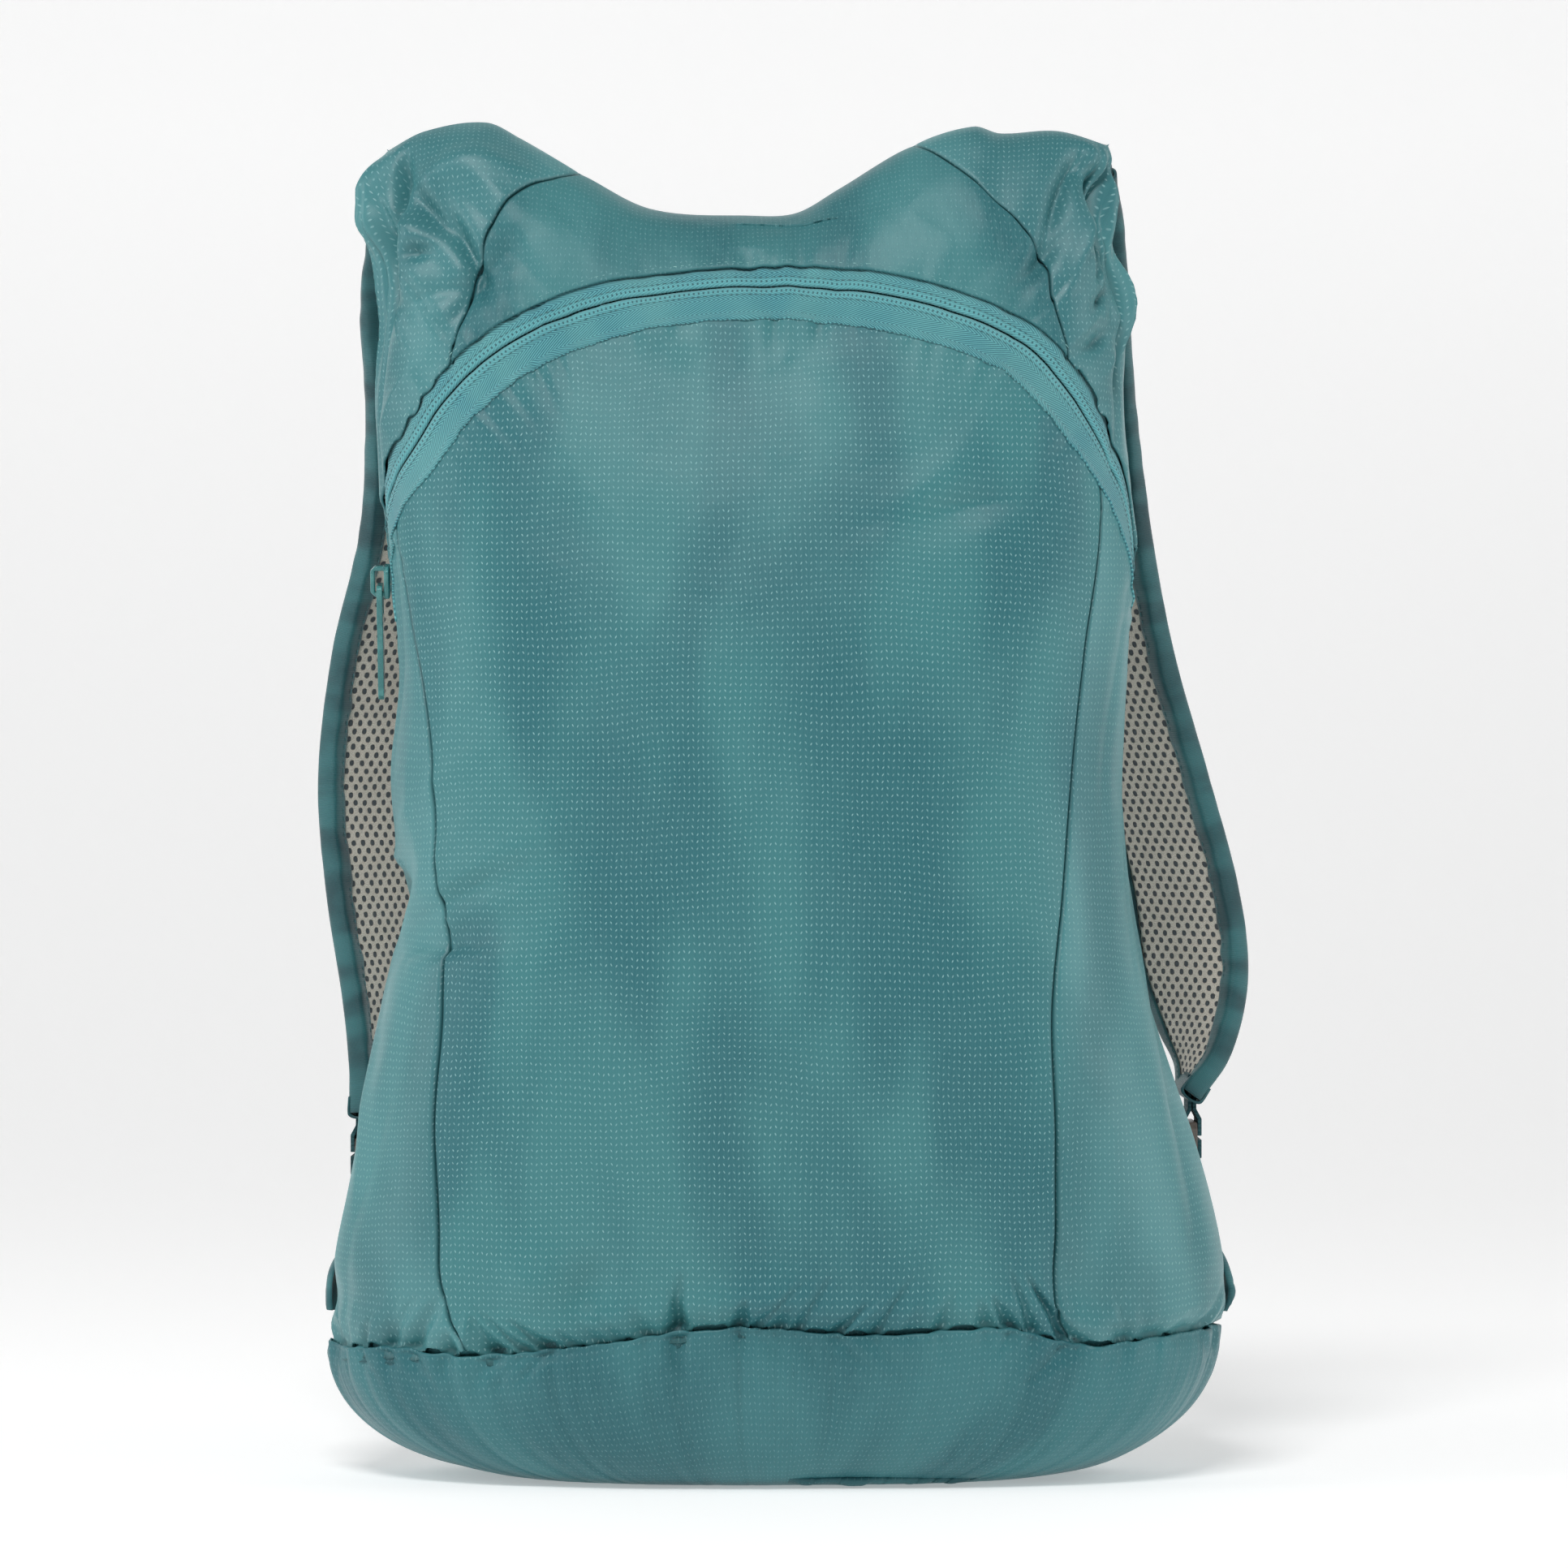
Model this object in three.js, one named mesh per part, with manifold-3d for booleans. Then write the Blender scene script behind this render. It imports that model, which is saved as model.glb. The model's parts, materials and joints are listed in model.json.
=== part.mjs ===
// Packable backpack, stuffed and standing on its base.
// Millimetres, +Z up, front towards -Y, the photograph's right towards +X.
import * as THREE from 'three';
import { mergeVertices } from 'three/addons/utils/BufferGeometryUtils.js';
import Module from 'manifold-3d';

const wasm = await Module();
wasm.setup();

// Sizes of the bag
const bagHeight = 450;
const baseHalfWidth = 150;
const bagDepth = 122;
const sideSquareness = 2.6;
const clothWall = 1.2;
const seamGap = 0.4;
const seamTuck = 2.4;
const seamTuckReach = 9;
const crownStartShare = 0.9;
const crownRoundness = 2.4;
const edgeDropShare = 0.6;
const footShare = 0.5;
const baseRoundness = 2.2;
const backSeamShare = 1.34;

// Sizes of the zip
const upperTapeWidth = 7.2;
const lowerTapeWidth = 11.2;
const tapeWall = 1.1;
const slitGap = 0.7;
const coilWidth = 5;
const coilWall = 1.1;
const coilGap = 0.95;
const sliderShare = 0.062;
const sliderLength = 11;
const sliderWidth = 8.4;
const sliderPlate = 1.8;
const sliderGap = 0.8;
const sliderTailShare = 0.72;
const sliderNoseShare = 0.6;
const sliderWaistShare = 0.2;
const sliderShoulderShare = 0.7;
const bridgeWidth = 2.8;
const bridgeLength = 10.4;
const bridgeWall = 1.6;
const bridgeRoom = 3.1;
const bridgeCorner = 1.6;
const pullLength = 39;
const pullTopWidth = 7.8;
const pullTipWidth = 5.6;
const pullWall = 2;
const pullRounding = 1.6;
const pullCorner = 1;
const pullEyeRim = 2;
const pullTaper = 3;
const pullEyeLength = 9.4;
const pullEyeWidth = 4.6;
const pullSlotLength = 16;
const pullSlotWidth = 1.8;
const pullSlotFoot = 4;
const runningGap = 0.55;

// Sizes of the straps
const strapWidth = 56;
const faceWall = 1.2;
const meshWall = 3;
const layerGap = 0.3;
const bindingGap = 0.6;
const bindingWall = 1.1;
const bindingWidth = 5.5;
const rootBeddingLeft = 1;
const rootBeddingRight = -0.2;
const webbingWidth = 20;
const webbingWall = 1.3;
const webbingGap = 0.35;
const strapToLock = 9;
const loopPinch = 3;
const loopRise = 1;
const lockWidth = 27;
const lockWall = 3.2;
const lockBar = 3;
const lockLip = 4;
const lockSlot = 3.6;
const loopSlot = 4.6;
const lockSideBar = 2.9;
const lockCorner = 2.5;
const tailLength = 14;
const anchorWall = 2.6;
const anchorGap = 0.6;
const anchorNear = 1.0;
const anchorFar = 1.26;
const anchorSeatRise = 0.12;
const anchorBillow = 3.5;

// Shares of bagHeight, baseHalfWidth and bagDepth at each level of the body
const sections = [
  { level: 0.09, left: 0.992, right: 0.985, front: 0.53, back: 0.43 },
  { level: 0.117, left: 0.960, right: 0.992, front: 0.545, back: 0.43 },
  { level: 0.164, left: 0.967, right: 0.995, front: 0.56, back: 0.43 },
  { level: 0.248, left: 0.920, right: 0.935, front: 0.57, back: 0.425 },
  { level: 0.351, left: 0.860, right: 0.842, front: 0.565, back: 0.415 },
  { level: 0.42, left: 0.822, right: 0.805, front: 0.55, back: 0.405 },
  { level: 0.52, left: 0.840, right: 0.780, front: 0.535, back: 0.385 },
  { level: 0.6, left: 0.822, right: 0.785, front: 0.515, back: 0.355 },
  { level: 0.69, left: 0.845, right: 0.803, front: 0.47, back: 0.315 },
  { level: 0.79, left: 0.872, right: 0.785, front: 0.41, back: 0.265 },
  { level: 0.88, left: 0.868, right: 0.785, front: 0.34, back: 0.22 },
  { level: 0.95, left: 0.885, right: 0.755, front: 0.29, back: 0.19 },
  { level: 0.985, left: 0.872, right: 0.765, front: 0.26, back: 0.17 },
  { level: 1, left: 0.845, right: 0.75, front: 0.25, back: 0.16 },
];

// Drop of the top edge below bagHeight, by share of the half width
const topEdge = [
  { reach: -1, drop: 0.022 },
  { reach: -0.9, drop: 0.008 },
  { reach: -0.74, drop: 0.002 },
  { reach: -0.65, drop: 0.014 },
  { reach: -0.49, drop: 0.040 },
  { reach: -0.31, drop: 0.066 },
  { reach: -0.05, drop: 0.071 },
  { reach: 0.08, drop: 0.069 },
  { reach: 0.2, drop: 0.052 },
  { reach: 0.42, drop: 0.019 },
  { reach: 0.6, drop: 0.005 },
  { reach: 0.68, drop: 0.010 },
  { reach: 0.85, drop: 0.008 },
  { reach: 1, drop: 0.018 },
];

// Rise of the base seam, by share of a quarter turn around the body
const baseSeam = [
  { across: -2, rise: 0.106 },
  { across: -1, rise: 0.100 },
  { across: -0.58, rise: 0.102 },
  { across: -0.41, rise: 0.097 },
  { across: -0.26, rise: 0.105 },
  { across: -0.06, rise: 0.119 },
  { across: 0.13, rise: 0.114 },
  { across: 0.32, rise: 0.118 },
  { across: 0.44, rise: 0.105 },
  { across: 0.63, rise: 0.109 },
  { across: 1, rise: 0.111 },
  { across: 2, rise: 0.106 },
];

// Front seams, as shares of the half width at each level
const frontSeams = [
  { level: 0.1, left: 0.673, right: 0.665 },
  { level: 0.125, left: 0.725, right: 0.622 },
  { level: 0.19, left: 0.752, right: 0.632 },
  { level: 0.26, left: 0.796, right: 0.668 },
  { level: 0.34, left: 0.82, right: 0.715 },
  { level: 0.43, left: 0.878, right: 0.797 },
  { level: 0.52, left: 0.876, right: 0.85 },
  { level: 0.62, left: 0.943, right: 0.87 },
  { level: 0.72, left: 0.967, right: 0.90 },
];

// The slit of the zip, from its end on the left flank to its end on the right flank
const zipSlit = [
  { across: -1.0, rise: 0.630 },
  { across: -0.99, rise: 0.664 },
  { across: -0.90, rise: 0.703 },
  { across: -0.66, rise: 0.750 },
  { across: -0.54, rise: 0.790 },
  { across: -0.41, rise: 0.830 },
  { across: -0.27, rise: 0.857 },
  { across: -0.09, rise: 0.870 },
  { across: 0.1, rise: 0.870 },
  { across: 0.27, rise: 0.858 },
  { across: 0.43, rise: 0.834 },
  { across: 0.55, rise: 0.799 },
  { across: 0.68, rise: 0.756 },
  { across: 0.84, rise: 0.704 },
  { across: 0.98, rise: 0.652 },
];

// Seams beside the yoke, from the zip up to the top edge, as shares of the half width
const yokeSeamLeft = [
  { reach: -0.80, rise: 0.838 },
  { reach: -0.735, rise: 0.884 },
  { reach: -0.69, rise: 0.916 },
  { reach: -0.615, rise: 0.942 },
];
const yokeSeamRight = [
  { reach: 0.83, rise: 0.824 },
  { reach: 0.785, rise: 0.861 },
  { reach: 0.775, rise: 0.892 },
  { reach: 0.71, rise: 0.922 },
  { reach: 0.60, rise: 0.951 },
];
const yokeTopLeft = -0.49;
const yokeTopRight = 0.42;

// Folds and dents: a place on the body, reach along and beside the fold, lean from upright, depth
const folds = [
  { across: -0.97, level: 0.425, along: 0.075, beside: 0.018, lean: 78, depth: -0.045 },
  { across: -0.62, level: 0.405, along: 0.07, beside: 0.012, lean: 84, depth: -0.028 },
  { across: -0.55, level: 0.452, along: 0.08, beside: 0.02, lean: 68, depth: 0.03 },
  { across: -0.78, level: 0.915, along: 0.06, beside: 0.03, lean: 8, depth: -0.06 },
  { across: -0.66, level: 0.90, along: 0.075, beside: 0.018, lean: -35, depth: 0.05 },
  { across: -0.88, level: 0.95, along: 0.045, beside: 0.02, lean: -20, depth: 0.04 },
  { across: 0.82, level: 0.935, along: 0.06, beside: 0.022, lean: 18, depth: -0.07 },
  { across: 0.68, level: 0.93, along: 0.07, beside: 0.025, lean: 25, depth: 0.035 },
  { across: 0.84, level: 0.83, along: 0.03, beside: 0.02, lean: 30, depth: -0.035 },
  { across: 0.33, level: 0.71, along: 0.035, beside: 0.016, lean: 75, depth: -0.022 },
  { across: 0.86, level: 0.30, along: 0.09, beside: 0.03, lean: 25, depth: -0.025 },
  { across: -0.25, level: 0.15, along: 0.022, beside: 0.013, lean: 10, depth: -0.03 },
  { across: -0.33, level: 0.15, along: 0.022, beside: 0.013, lean: -8, depth: 0.025 },
  { across: 0.42, level: 0.15, along: 0.03, beside: 0.014, lean: -12, depth: -0.03 },
  { across: 0.0, level: 0.14, along: 0.018, beside: 0.02, lean: 0, depth: 0.02 },
];
const foldTurnShare = 0.36;
const foldFadeShare = 0.97;

// Outer edge of each strap from its root to its lower end, back as a share of bagDepth past the root
const strapLeft = [
  { rise: 0.966, out: 0.872, back: 0, turn: 0, wide: 1 },
  { rise: 0.925, out: 0.893, back: 0.115, turn: 2, wide: 1 },
  { rise: 0.872, out: 0.915, back: 0.165, turn: 10, wide: 1 },
  { rise: 0.79, out: 0.905, back: 0.215, turn: 26, wide: 1 },
  { rise: 0.7, out: 0.918, back: 0.249, turn: 44, wide: 1 },
  { rise: 0.61, out: 0.98, back: 0.284, turn: 56, wide: 1 },
  { rise: 0.515, out: 1.013, back: 0.294, turn: 57, wide: 1 },
  { rise: 0.43, out: 0.995, back: 0.284, turn: 59, wide: 1 },
  { rise: 0.35, out: 0.955, back: 0.244, turn: 66, wide: 0.88 },
  { rise: 0.3, out: 0.935, back: 0.189, turn: 76, wide: 0.68 },
  { rise: 0.262, out: 0.93, back: 0.165, turn: 88, wide: 0.48 },
];
const strapRight = [
  { rise: 0.966, out: 0.765, back: 0, turn: 0, wide: 1 },
  { rise: 0.925, out: 0.79, back: 0.115, turn: 2, wide: 1 },
  { rise: 0.872, out: 0.803, back: 0.165, turn: 10, wide: 1 },
  { rise: 0.79, out: 0.822, back: 0.215, turn: 26, wide: 1 },
  { rise: 0.7, out: 0.855, back: 0.249, turn: 44, wide: 1 },
  { rise: 0.61, out: 0.905, back: 0.284, turn: 56, wide: 1 },
  { rise: 0.515, out: 0.985, back: 0.294, turn: 58, wide: 1 },
  { rise: 0.43, out: 1.053, back: 0.284, turn: 56, wide: 1 },
  { rise: 0.365, out: 1.073, back: 0.254, turn: 56, wide: 0.97 },
  { rise: 0.31, out: 1.035, back: 0.215, turn: 68, wide: 0.76 },
  { rise: 0.274, out: 0.96, back: 0.165, turn: 88, wide: 0.48 },
];

// Grid counts
const frontColumns = 22;
const flankColumns = 4;
const endColumns = 2;
const seamColumns = 2;
const backColumns = 14;
const bodyRows = 14;
const rowCrowding = 1.35;
const ringCrowding = 1.5;
const shoulderColumns = 7;
const yokeColumns = 16;
const topRows = 8;
const baseRings = 6;
const tapeRows = 1;
const strapRows = 24;
const strapColumns = 4;
const anchorRows = 5;
const anchorColumns = 3;

const cloth = { color: 0x4b8287, roughness: 0.55, metalness: 0 };
const tapeCloth = { color: 0x4b969d, roughness: 0.75, metalness: 0 };
const bindingCloth = { color: 0x285c62, roughness: 0.7, metalness: 0 };
const airMesh = { color: 0xa09484, roughness: 0.9, metalness: 0 };
const paintedMetal = { color: 0x3f8a8a, roughness: 0.3, metalness: 0.4 };
const greyPlastic = { color: 0x6a6058, roughness: 0.5, metalness: 0 };

// A smooth curve through one column of a table
function tableCurve(rows, key, column) {
  const slope = (i) => {
    const before = rows[Math.max(i - 1, 0)];
    const after = rows[Math.min(i + 1, rows.length - 1)];
    return (after[column] - before[column]) / (after[key] - before[key]);
  };
  return (at) => {
    let i = 0;
    while (i < rows.length - 2 && at > rows[i + 1][key]) i += 1;
    const start = rows[i];
    const end = rows[i + 1];
    const span = end[key] - start[key];
    const t = THREE.MathUtils.clamp((at - start[key]) / span, 0, 1);
    const rise = t * t * (3 - 2 * t);
    const leave = t * (1 - t) * (1 - t) * span * slope(i);
    const arrive = t * t * (t - 1) * span * slope(i + 1);
    return start[column] + (end[column] - start[column]) * rise + leave + arrive;
  };
}

// The same rows run through by their order, 0 at the first and 1 at the last
function runCurve(rows, column) {
  const ordered = rows.map((row, i) => ({ at: i / (rows.length - 1), value: row[column] }));
  return tableCurve(ordered, 'at', 'value');
}

const halfLeft = tableCurve(sections, 'level', 'left');
const halfRight = tableCurve(sections, 'level', 'right');
const depthFront = tableCurve(sections, 'level', 'front');
const depthBack = tableCurve(sections, 'level', 'back');
const edgeDrop = tableCurve(topEdge, 'reach', 'drop');
const seamRise = tableCurve(baseSeam, 'across', 'rise');
const seamLeft = tableCurve(frontSeams, 'level', 'left');
const seamRight = tableCurve(frontSeams, 'level', 'right');

// Share of the half width and of the depth reached at a share of a quarter turn
function around(across) {
  const angle = across * Math.PI / 2;
  const wide = Math.sin(angle);
  const deep = Math.cos(angle);
  const power = Math.abs(wide) ** sideSquareness + Math.abs(deep) ** sideSquareness;
  const size = power ** (-1 / sideSquareness);
  return { wide: wide * size, deep: deep * size };
}

// The share of a quarter turn at which the front reaches a share of the half width
function acrossAt(reach) {
  const deep = (1 - Math.abs(reach) ** sideSquareness) ** (1 / sideSquareness);
  return Math.atan2(reach, deep) * 2 / Math.PI;
}

function topFade(level) {
  return THREE.MathUtils.smoothstep(level, edgeDropShare, 1);
}

// The level, as a share of bagHeight before the top edge drops, of a real height
function levelAt(across, rise) {
  const drop = edgeDrop(around(across).wide);
  let level = rise;
  for (let i = 0; i < 30; i += 1) level = rise + drop * topFade(level);
  return level;
}

// The plain stuffed body, which closes along the top edge at level 1
function bodyPoint(across, level) {
  const over = level > 1;
  const height = over ? 2 - level : level;
  let turn = over ? Math.sign(across || 1) * (2 - Math.abs(across)) : across;
  if (turn > 2) turn -= 4;
  if (turn < -2) turn += 4;
  const { wide, deep } = around(turn);
  const half = (wide < 0 ? halfLeft(height) : halfRight(height)) * baseHalfWidth;
  const past = THREE.MathUtils.clamp((height - crownStartShare) / (1 - crownStartShare), 0, 1);
  const crown = (1 - past ** crownRoundness) ** (1 / crownRoundness);
  const depth = (deep > 0 ? depthFront(height) : depthBack(height)) * bagDepth * crown;
  const rise = height - edgeDrop(wide) * topFade(height);
  return new THREE.Vector3(wide * half, -deep * depth, rise * bagHeight);
}

function surfaceNormal(point, across, level) {
  const turnStep = 0.004;
  const levelStep = 0.002;
  const alongTurn = point(across + turnStep, level).sub(point(across - turnStep, level));
  const alongLevel = point(across, level + levelStep).sub(point(across, level - levelStep));
  const normal = alongTurn.cross(alongLevel);
  const smallest = 1e-6;
  if (normal.length() < smallest) return new THREE.Vector3(Math.sign(across), 0, 1).normalize();
  return normal.normalize();
}

// How far the cloth stands in or out at a place, from the table of folds and the base seam
function foldDepth(across, level) {
  let depth = 0;
  for (const fold of folds) {
    const lean = THREE.MathUtils.degToRad(fold.lean);
    const sideways = (across - fold.across) * foldTurnShare;
    const upward = level - fold.level;
    const along = (upward * Math.cos(lean) + sideways * Math.sin(lean)) / fold.along;
    const beside = (sideways * Math.cos(lean) - upward * Math.sin(lean)) / fold.beside;
    depth += fold.depth * bagDepth * Math.exp(-along * along - beside * beside);
  }
  const toSeam = (level - levelAt(across, seamRise(across))) * bagHeight / seamTuckReach;
  return depth - seamTuck * Math.exp(-toSeam * toSeam);
}

function clothPoint(across, level) {
  const normal = surfaceNormal(bodyPoint, across, Math.min(level, 1));
  const fade = 1 - THREE.MathUtils.smoothstep(level, foldFadeShare, 1);
  return bodyPoint(across, level).addScaledVector(normal, foldDepth(across, level) * fade);
}

// The body below the base seam: share 1 at the seam, down to the flat foot
function basePoint(across, share) {
  const turn = across > 2 ? across - 4 : across;
  const rim = clothPoint(turn, levelAt(turn, seamRise(turn)));
  const past = Math.max(0, (share - footShare) / (1 - footShare));
  const rise = 1 - (1 - Math.min(past, 1) ** baseRoundness) ** (1 / baseRoundness);
  return new THREE.Vector3(rim.x * share, rim.y * share, rim.z * rise);
}

// A closed shell between two grids of points, outer[column][row]
function shellGeometry(outer, inner) {
  const columns = outer.length;
  const rows = outer[0].length;
  const points = [...outer.flat(), ...inner.flat()];
  const out = (i, j) => i * rows + j;
  const back = (i, j) => (columns + i) * rows + j;
  const triangles = [];
  const quad = (a, b, c, d) => triangles.push(a, b, c, a, c, d);
  for (let i = 0; i < columns - 1; i += 1) {
    for (let j = 0; j < rows - 1; j += 1) {
      quad(out(i, j), out(i + 1, j), out(i + 1, j + 1), out(i, j + 1));
      quad(back(i, j), back(i, j + 1), back(i + 1, j + 1), back(i + 1, j));
    }
    quad(out(i + 1, 0), out(i, 0), back(i, 0), back(i + 1, 0));
    quad(out(i, rows - 1), out(i + 1, rows - 1), back(i + 1, rows - 1), back(i, rows - 1));
  }
  for (let j = 0; j < rows - 1; j += 1) {
    quad(out(0, j), out(0, j + 1), back(0, j + 1), back(0, j));
    const last = columns - 1;
    quad(out(last, j + 1), out(last, j), back(last, j), back(last, j + 1));
  }
  return meshGeometry(points, triangles);
}

function meshGeometry(points, triangles) {
  const geometry = new THREE.BufferGeometry();
  const positions = points.flatMap((point) => [point.x, point.y, point.z]);
  geometry.setAttribute('position', new THREE.Float32BufferAttribute(positions, 3));
  geometry.setIndex(triangles);
  geometry.computeVertexNormals();
  return geometry;
}

// Moves the edge points of a grid inwards along the cloth, so that seams keep their gap
function trimEdges(grid, gap) {
  const last = grid.length - 1;
  const top = grid[0].length - 1;
  const toward = (point, next) => next.clone().sub(point).setLength(gap);
  const shifts = grid.map((column) => column.map(() => new THREE.Vector3()));
  for (let i = 0; i <= last; i += 1) {
    shifts[i][0].add(toward(grid[i][0], grid[i][1]));
    shifts[i][top].add(toward(grid[i][top], grid[i][top - 1]));
  }
  for (let j = 0; j <= top; j += 1) {
    shifts[0][j].add(toward(grid[0][j], grid[1][j]));
    shifts[last][j].add(toward(grid[last][j], grid[last - 1][j]));
  }
  grid.forEach((column, i) => column.forEach((point, j) => point.add(shifts[i][j])));
}

// A sheet on the body between four seams, each a function of a share along it
function clothPatch({ bottom, top, left, right, columns, rows, wall, sunk = 0, crowding = 1 }) {
  const outer = [];
  const inner = [];
  for (let i = 0; i <= columns; i += 1) {
    outer.push([]);
    inner.push([]);
    for (let j = 0; j <= rows; j += 1) {
      const a = i / columns;
      const b = (j / rows) ** crowding;
      const place = coonsPlace({ bottom, top, left, right }, a, b);
      const normal = surfaceNormal(clothPoint, place.across, place.level);
      const point = clothPoint(place.across, place.level);
      outer[i].push(point.clone().addScaledVector(normal, -sunk));
      inner[i].push(point.clone().addScaledVector(normal, -sunk - wall));
    }
  }
  trimEdges(outer, seamGap / 2);
  trimEdges(inner, seamGap / 2);
  return shellGeometry(outer, inner);
}

function coonsPlace({ bottom, top, left, right }, a, b) {
  const blend = (key) => {
    const upright = (1 - b) * bottom(a)[key] + b * top(a)[key];
    const level = (1 - a) * left(b)[key] + a * right(b)[key];
    const low = (1 - a) * bottom(0)[key] + a * bottom(1)[key];
    const high = (1 - a) * top(0)[key] + a * top(1)[key];
    return upright + level - (1 - b) * low - b * high;
  };
  return { across: blend('across'), level: blend('level') };
}

// A place on the body at a distance from another, square to a direction along the cloth
function besidePlace(place, ahead, distance) {
  const steps = 4;
  const turnStep = 0.003;
  const levelStep = 0.001;
  let { across, level } = place;
  for (let i = 0; i < steps; i += 1) {
    const here = bodyPoint(across, level);
    const alongTurn = bodyPoint(across + turnStep, level).sub(here);
    const alongLevel = bodyPoint(across, level + levelStep).sub(here);
    const normal = alongTurn.clone().cross(alongLevel).normalize();
    const side = normal.cross(ahead).setLength(distance / steps);
    const turnTurn = alongTurn.dot(alongTurn);
    const levelLevel = alongLevel.dot(alongLevel);
    const turnLevel = alongTurn.dot(alongLevel);
    const spread = turnTurn * levelLevel - turnLevel * turnLevel;
    const sideTurn = side.dot(alongTurn);
    const sideLevel = side.dot(alongLevel);
    across += turnStep * (sideTurn * levelLevel - sideLevel * turnLevel) / spread;
    level += levelStep * (sideLevel * turnTurn - sideTurn * turnLevel) / spread;
  }
  return { across, level };
}

const slitAcross = runCurve(zipSlit, 'across');
const slitRise = runCurve(zipSlit, 'rise');

function slitPlace(t) {
  return { across: slitAcross(t), level: levelAt(slitAcross(t), slitRise(t)) };
}

// A line beside the slit, above it where the distance is positive
function tapeLine(distance) {
  return (t) => {
    const step = 0.004;
    const before = slitPlace(Math.max(t - step, 0));
    const after = slitPlace(Math.min(t + step, 1));
    const start = bodyPoint(before.across, before.level);
    const ahead = bodyPoint(after.across, after.level).sub(start);
    return besidePlace(slitPlace(t), ahead, distance);
  };
}

const upperEdge = tapeLine(upperTapeWidth);
const lowerEdge = tapeLine(-lowerTapeWidth);

// Finds where a function of a share crosses zero between two shares
function crossing(value, low, high) {
  const startSign = Math.sign(value(low));
  let near = low;
  let far = high;
  for (let i = 0; i < 40; i += 1) {
    const middle = (near + far) / 2;
    if (Math.sign(value(middle)) === startSign) near = middle;
    else far = middle;
  }
  return (near + far) / 2;
}

const frontSeamPlace = (side, level) => {
  const reach = side < 0 ? -seamLeft(level) : seamRight(level);
  return { across: acrossAt(reach), level };
};

function seamOffset(side) {
  return (t) => {
    const place = lowerEdge(t);
    return place.across - frontSeamPlace(side, place.level).across;
  };
}

const lowerLeftShare = crossing(seamOffset(-1), 0.03, 0.4);
const lowerRightShare = crossing(seamOffset(1), 0.97, 0.6);

function upperShareAt(reach) {
  const across = acrossAt(reach);
  const low = reach < 0 ? 0.03 : 0.5;
  const high = reach < 0 ? 0.5 : 0.97;
  return crossing((t) => upperEdge(t).across - across, low, high);
}

const upperLeftShare = upperShareAt(yokeSeamLeft[0].reach);
const upperRightShare = upperShareAt(yokeSeamRight[0].reach);

const spanOf = (line, from, to) => (share) => line(from + (to - from) * share);
const straight = (from, to) => (share) => ({
  across: from.across + (to.across - from.across) * share,
  level: from.level + (to.level - from.level) * share,
});

// Several lines end to end, each given its count of columns
function joined(parts) {
  const total = parts.reduce((sum, part) => sum + part.columns, 0);
  return (share) => {
    let column = share * total;
    let i = 0;
    while (i < parts.length - 1 && column > parts[i].columns) {
      column -= parts[i].columns;
      i += 1;
    }
    return parts[i].line(column / parts[i].columns);
  };
}

// The base seam between two places around the body
function baseSeamLine(from, to) {
  return (share) => {
    const across = from + (to - from) * share;
    const wrapped = across > 2 ? across - 4 : across;
    return { across, level: levelAt(wrapped, seamRise(wrapped)) };
  };
}

// A front seam from the base seam up to the zip
function frontSeamLine(side) {
  const reach = side < 0 ? -seamLeft(frontSeams[0].level) : seamRight(frontSeams[0].level);
  const foot = acrossAt(reach);
  const low = levelAt(foot, seamRise(foot));
  const end = lowerEdge(side < 0 ? lowerLeftShare : lowerRightShare);
  return (share) => {
    if (share === 0) return { across: foot, level: low };
    if (share === 1) return end;
    return frontSeamPlace(side, low + (end.level - low) * share);
  };
}

// A yoke seam from the zip up to the top edge
function yokeSeamLine(rows, start, topReach) {
  const places = [start];
  rows.slice(1).forEach((row) => {
    const across = acrossAt(row.reach);
    places.push({ across, level: levelAt(across, row.rise) });
  });
  places.push({ across: acrossAt(topReach), level: 1 });
  const across = runCurve(places, 'across');
  const level = runCurve(places, 'level');
  return (share) => ({ across: across(share), level: share === 1 ? 1 : level(share) });
}

const leftSeam = frontSeamLine(-1);
const rightSeam = frontSeamLine(1);
const leftYokeSeam = yokeSeamLine(yokeSeamLeft, upperEdge(upperLeftShare), yokeTopLeft);
const rightYokeSeam = yokeSeamLine(yokeSeamRight, upperEdge(upperRightShare), yokeTopRight);
const leftBackSeam = { across: -backSeamShare, level: upperEdge(0).level };
const rightBackSeam = { across: backSeamShare, level: upperEdge(1).level };
const ridge = (from, to) => straight({ across: from, level: 1 }, { across: to, level: 1 });

const group = new THREE.Group();

function addPiece(name, geometry, look) {
  const mesh = new THREE.Mesh(geometry, new THREE.MeshStandardMaterial(look));
  mesh.name = name;
  group.add(mesh);
  return mesh;
}

function addFrontPanel() {
  addPiece('front_panel', clothPatch({
    bottom: baseSeamLine(leftSeam(0).across, rightSeam(0).across),
    top: spanOf(lowerEdge, lowerLeftShare, lowerRightShare),
    left: leftSeam,
    right: rightSeam,
    columns: frontColumns,
    rows: bodyRows,
    crowding: rowCrowding,
    wall: clothWall,
  }), cloth);
}

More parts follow.
